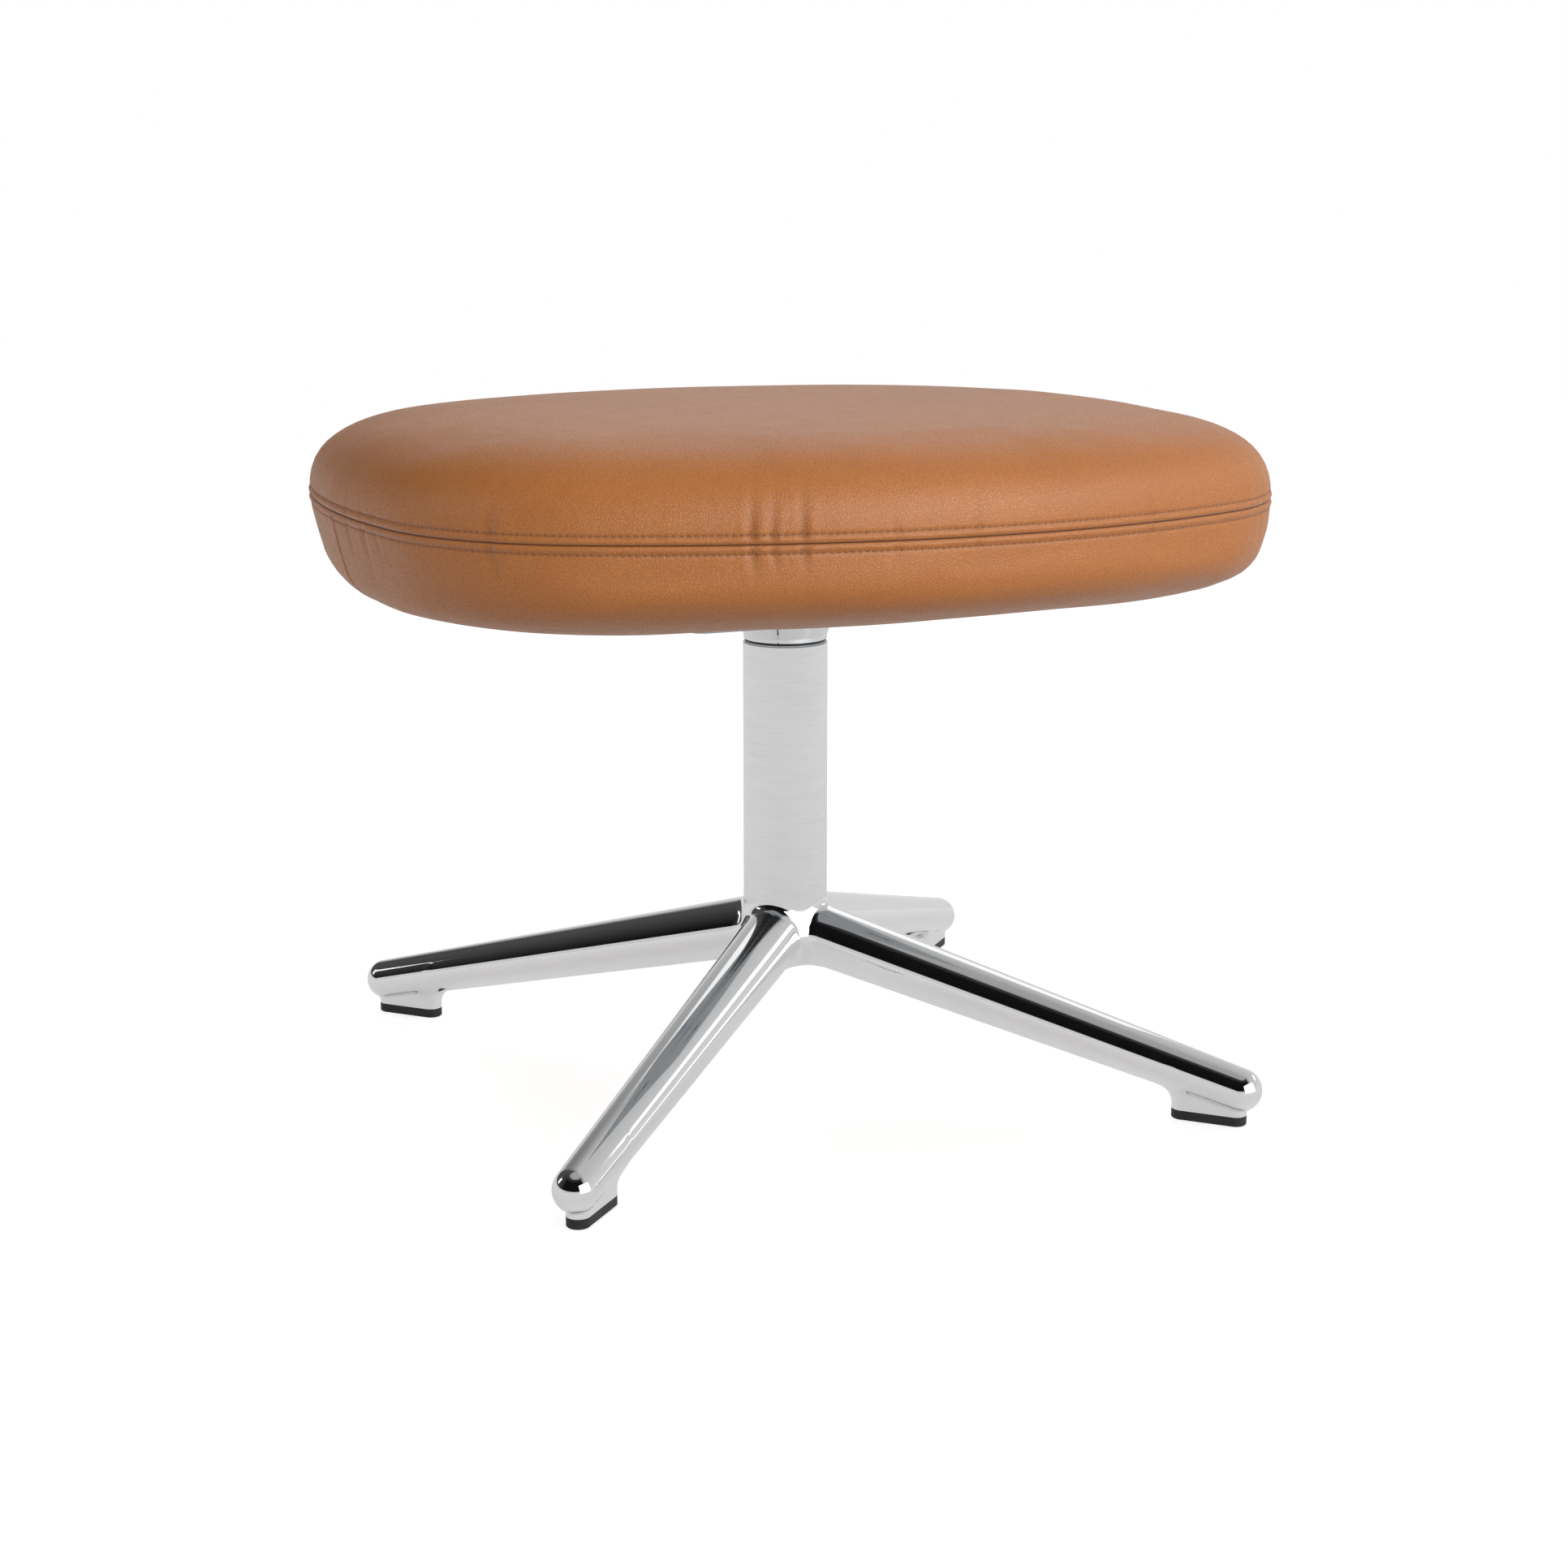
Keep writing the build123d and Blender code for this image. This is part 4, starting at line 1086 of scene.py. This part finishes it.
soft_parts = (top, side, foam_block, dust, *threads)
hard_parts = (casting, *(part for name, part in parts.items() if name != "column_tube"))
for piece in (*soft_parts, *(parts[name] for name in HIDDEN_IN_SEAT)):
    piece.visible_glossy = False    # keeps the seat's colour out of the polished legs


# ---- floor, light and camera ----
CAMERA_AZIMUTH = -112.5
CAMERA_DISTANCE = 1.5083
CAMERA_HEIGHT = 0.5179
CAMERA_PITCH = 12.82
FLOOR_HALF = 4
FLOOR_GLOW, FLOOR_GLOW_MIRRORED = 0.7, 0.32
EVEN_LIGHT = 0.46
LIGHT_TARGET = Vector((0, 0, 0.25))
# brightness of the mirrored studio from straight below to straight above
STUDIO_BANDS = (
    (0.0, 0.62), (0.150, 0.62), (0.165, 0.004), (0.80, 0.006),
    (0.92, 0.045), (0.94, 0.34), (1.0, 0.37),
)
FAR_SIDE, LEFT_SIDE = 15, 102  # azimuths of the pale side of the studio and of its soft glow


def make_floor():
    """Plain pale floor that can be seen through from below."""
    square = ((-1, -1), (1, -1), (1, 1), (-1, 1))
    corners = [(x * FLOOR_HALF, y * FLOOR_HALF, 0) for x, y in square]
    floor = add_object("floor", mesh_from("floor", corners, [(0, 1, 2, 3)]))
    material, tree, shader = new_material(
        "pale_floor", Roughness=0.9, Base_Color=(0.84, 0.84, 0.84, 1), Specular_IOR_Level=0,
        Emission_Color=(1, 1, 1, 1),
    )
    path = node(tree, "LightPath").outputs
    seen = times(tree, path["Is Camera Ray"], FLOOR_GLOW)
    mirrored = times(tree, path["Is Glossy Ray"], FLOOR_GLOW_MIRRORED)
    wire(shader, Emission_Strength=calculate(tree, "ADD", seen, mirrored))
    clear = node(tree, "BsdfTransparent")
    under = node(tree, "NewGeometry").outputs["Backfacing"]
    surface = mix_shaders(tree, under, shader, clear).outputs[0]
    tree.links.new(surface, tree.nodes["Material Output"].inputs["Surface"])
    floor.data.materials.append(material)


def direction(azimuth, elevation):
    """Unit vector towards an azimuth and elevation, in degrees."""
    a, e = math.radians(azimuth), math.radians(elevation)
    return Vector((math.cos(a) * math.cos(e), math.sin(a) * math.cos(e), math.sin(e)))


def softbox(name, azimuth, elevation, distance, width, height, power, lit=()):
    """Area light turned to the cushion; it lights every piece, or only those given."""
    light = bpy.data.lights.new(name, "AREA")
    light.shape = "RECTANGLE"
    light.size, light.size_y = width, height
    light.energy = power
    obj = add_object(name, light)
    way = direction(azimuth, elevation)
    obj.location = LIGHT_TARGET + way * distance
    obj.rotation_euler = way.to_track_quat("Z", "Y").to_euler()
    obj.visible_camera = False
    if lit:
        group = bpy.data.collections.new(name + "_lit")
        for piece in lit:
            group.objects.link(piece)
        obj.light_linking.receiver_collection = group


def make_world():
    """White room for the eye, even light for matt surfaces, a banded studio for glossy ones."""
    world = bpy.data.worlds.new("studio")
    scene.world = world
    world.use_nodes = True
    tree = world.node_tree
    tree.nodes.clear()
    where = node(tree, "TexCoord").outputs["Generated"]
    rise = node(tree, "SeparateXYZ", {0: where}).outputs["Z"]
    ramp = node(tree, "ValToRGB", {"Fac": rise})
    elements = ramp.color_ramp.elements
    elements[0].position, elements[1].position = STUDIO_BANDS[0][0], STUDIO_BANDS[-1][0]
    for position, _ in STUDIO_BANDS[1:-1]:
        elements.new(position)
    for element, (_, value) in zip(elements, STUDIO_BANDS):
        element.color = (value, value, value, 1)
    behind, left = (
        vector(tree, "DOT_PRODUCT", where, direction(azimuth, 0), "Value")
        for azimuth in (FAR_SIDE, LEFT_SIDE)
    )
    far = remap(tree, behind, 0.08, 0.42, smooth_out=True)
    pale = remap(tree, rise, 0.0, 1.0, 0.72, 0.48)
    glow = remap(tree, left, 0.05, 0.7, 0.0, 0.06)
    banded = vector(tree, "ADD", ramp.outputs["Color"], glow)
    studio, even, white = (
        node(tree, "Background", {"Color": colour, "Strength": strength})
        for colour, strength in (
            (blend(tree, far, banded, pale), 1.0), ((1, 1, 1, 1), EVEN_LIGHT), ((1, 1, 1, 1), 1.0),
        )
    )
    path = node(tree, "LightPath").outputs
    lit = mix_shaders(tree, path["Is Glossy Ray"], even, studio)
    seen = mix_shaders(tree, path["Is Camera Ray"], lit, white)
    output = node(tree, "OutputWorld")
    tree.links.new(seen.outputs[0], output.inputs["Surface"])


def make_camera():
    """Camera level with the legs' diagonal, looking slightly down."""
    camera = bpy.data.cameras.new("camera")
    camera.lens = 59.55
    camera.sensor_width = 36
    camera.shift_x = -0.0008
    camera.clip_end = 50
    obj = add_object("camera", camera)
    away = direction(CAMERA_AZIMUTH, 0)
    obj.location = away * CAMERA_DISTANCE + Vector((0, 0, CAMERA_HEIGHT))
    obj.rotation_euler = (math.radians(90 - CAMERA_PITCH), 0, math.radians(CAMERA_AZIMUTH + 90))
    scene.camera = obj


make_floor()
make_world()
softbox("key_leather", -72, 14, 2.3, 3.1, 1.6, 25, soft_parts)
softbox("gloss_leather", -66, 36, 2.3, 2.6, 1.0, 21, soft_parts)
softbox("key_metal", -66, 14, 2.3, 2.3, 1.6, 26, hard_parts)
softbox("far_right", 4, 21, 2.4, 0.9, 0.36, 1.1)
softbox("side_metal", 150, 20, 2.4, 0.5, 0.8, 1.4, hard_parts)
softbox("side_leather", 170, 27, 2.4, 1.2, 0.8, 5, soft_parts)
softbox("fill_back", 60, 35, 2.4, 1.6, 1.2, 3)
make_camera()
scene.view_settings.view_transform = "Standard"
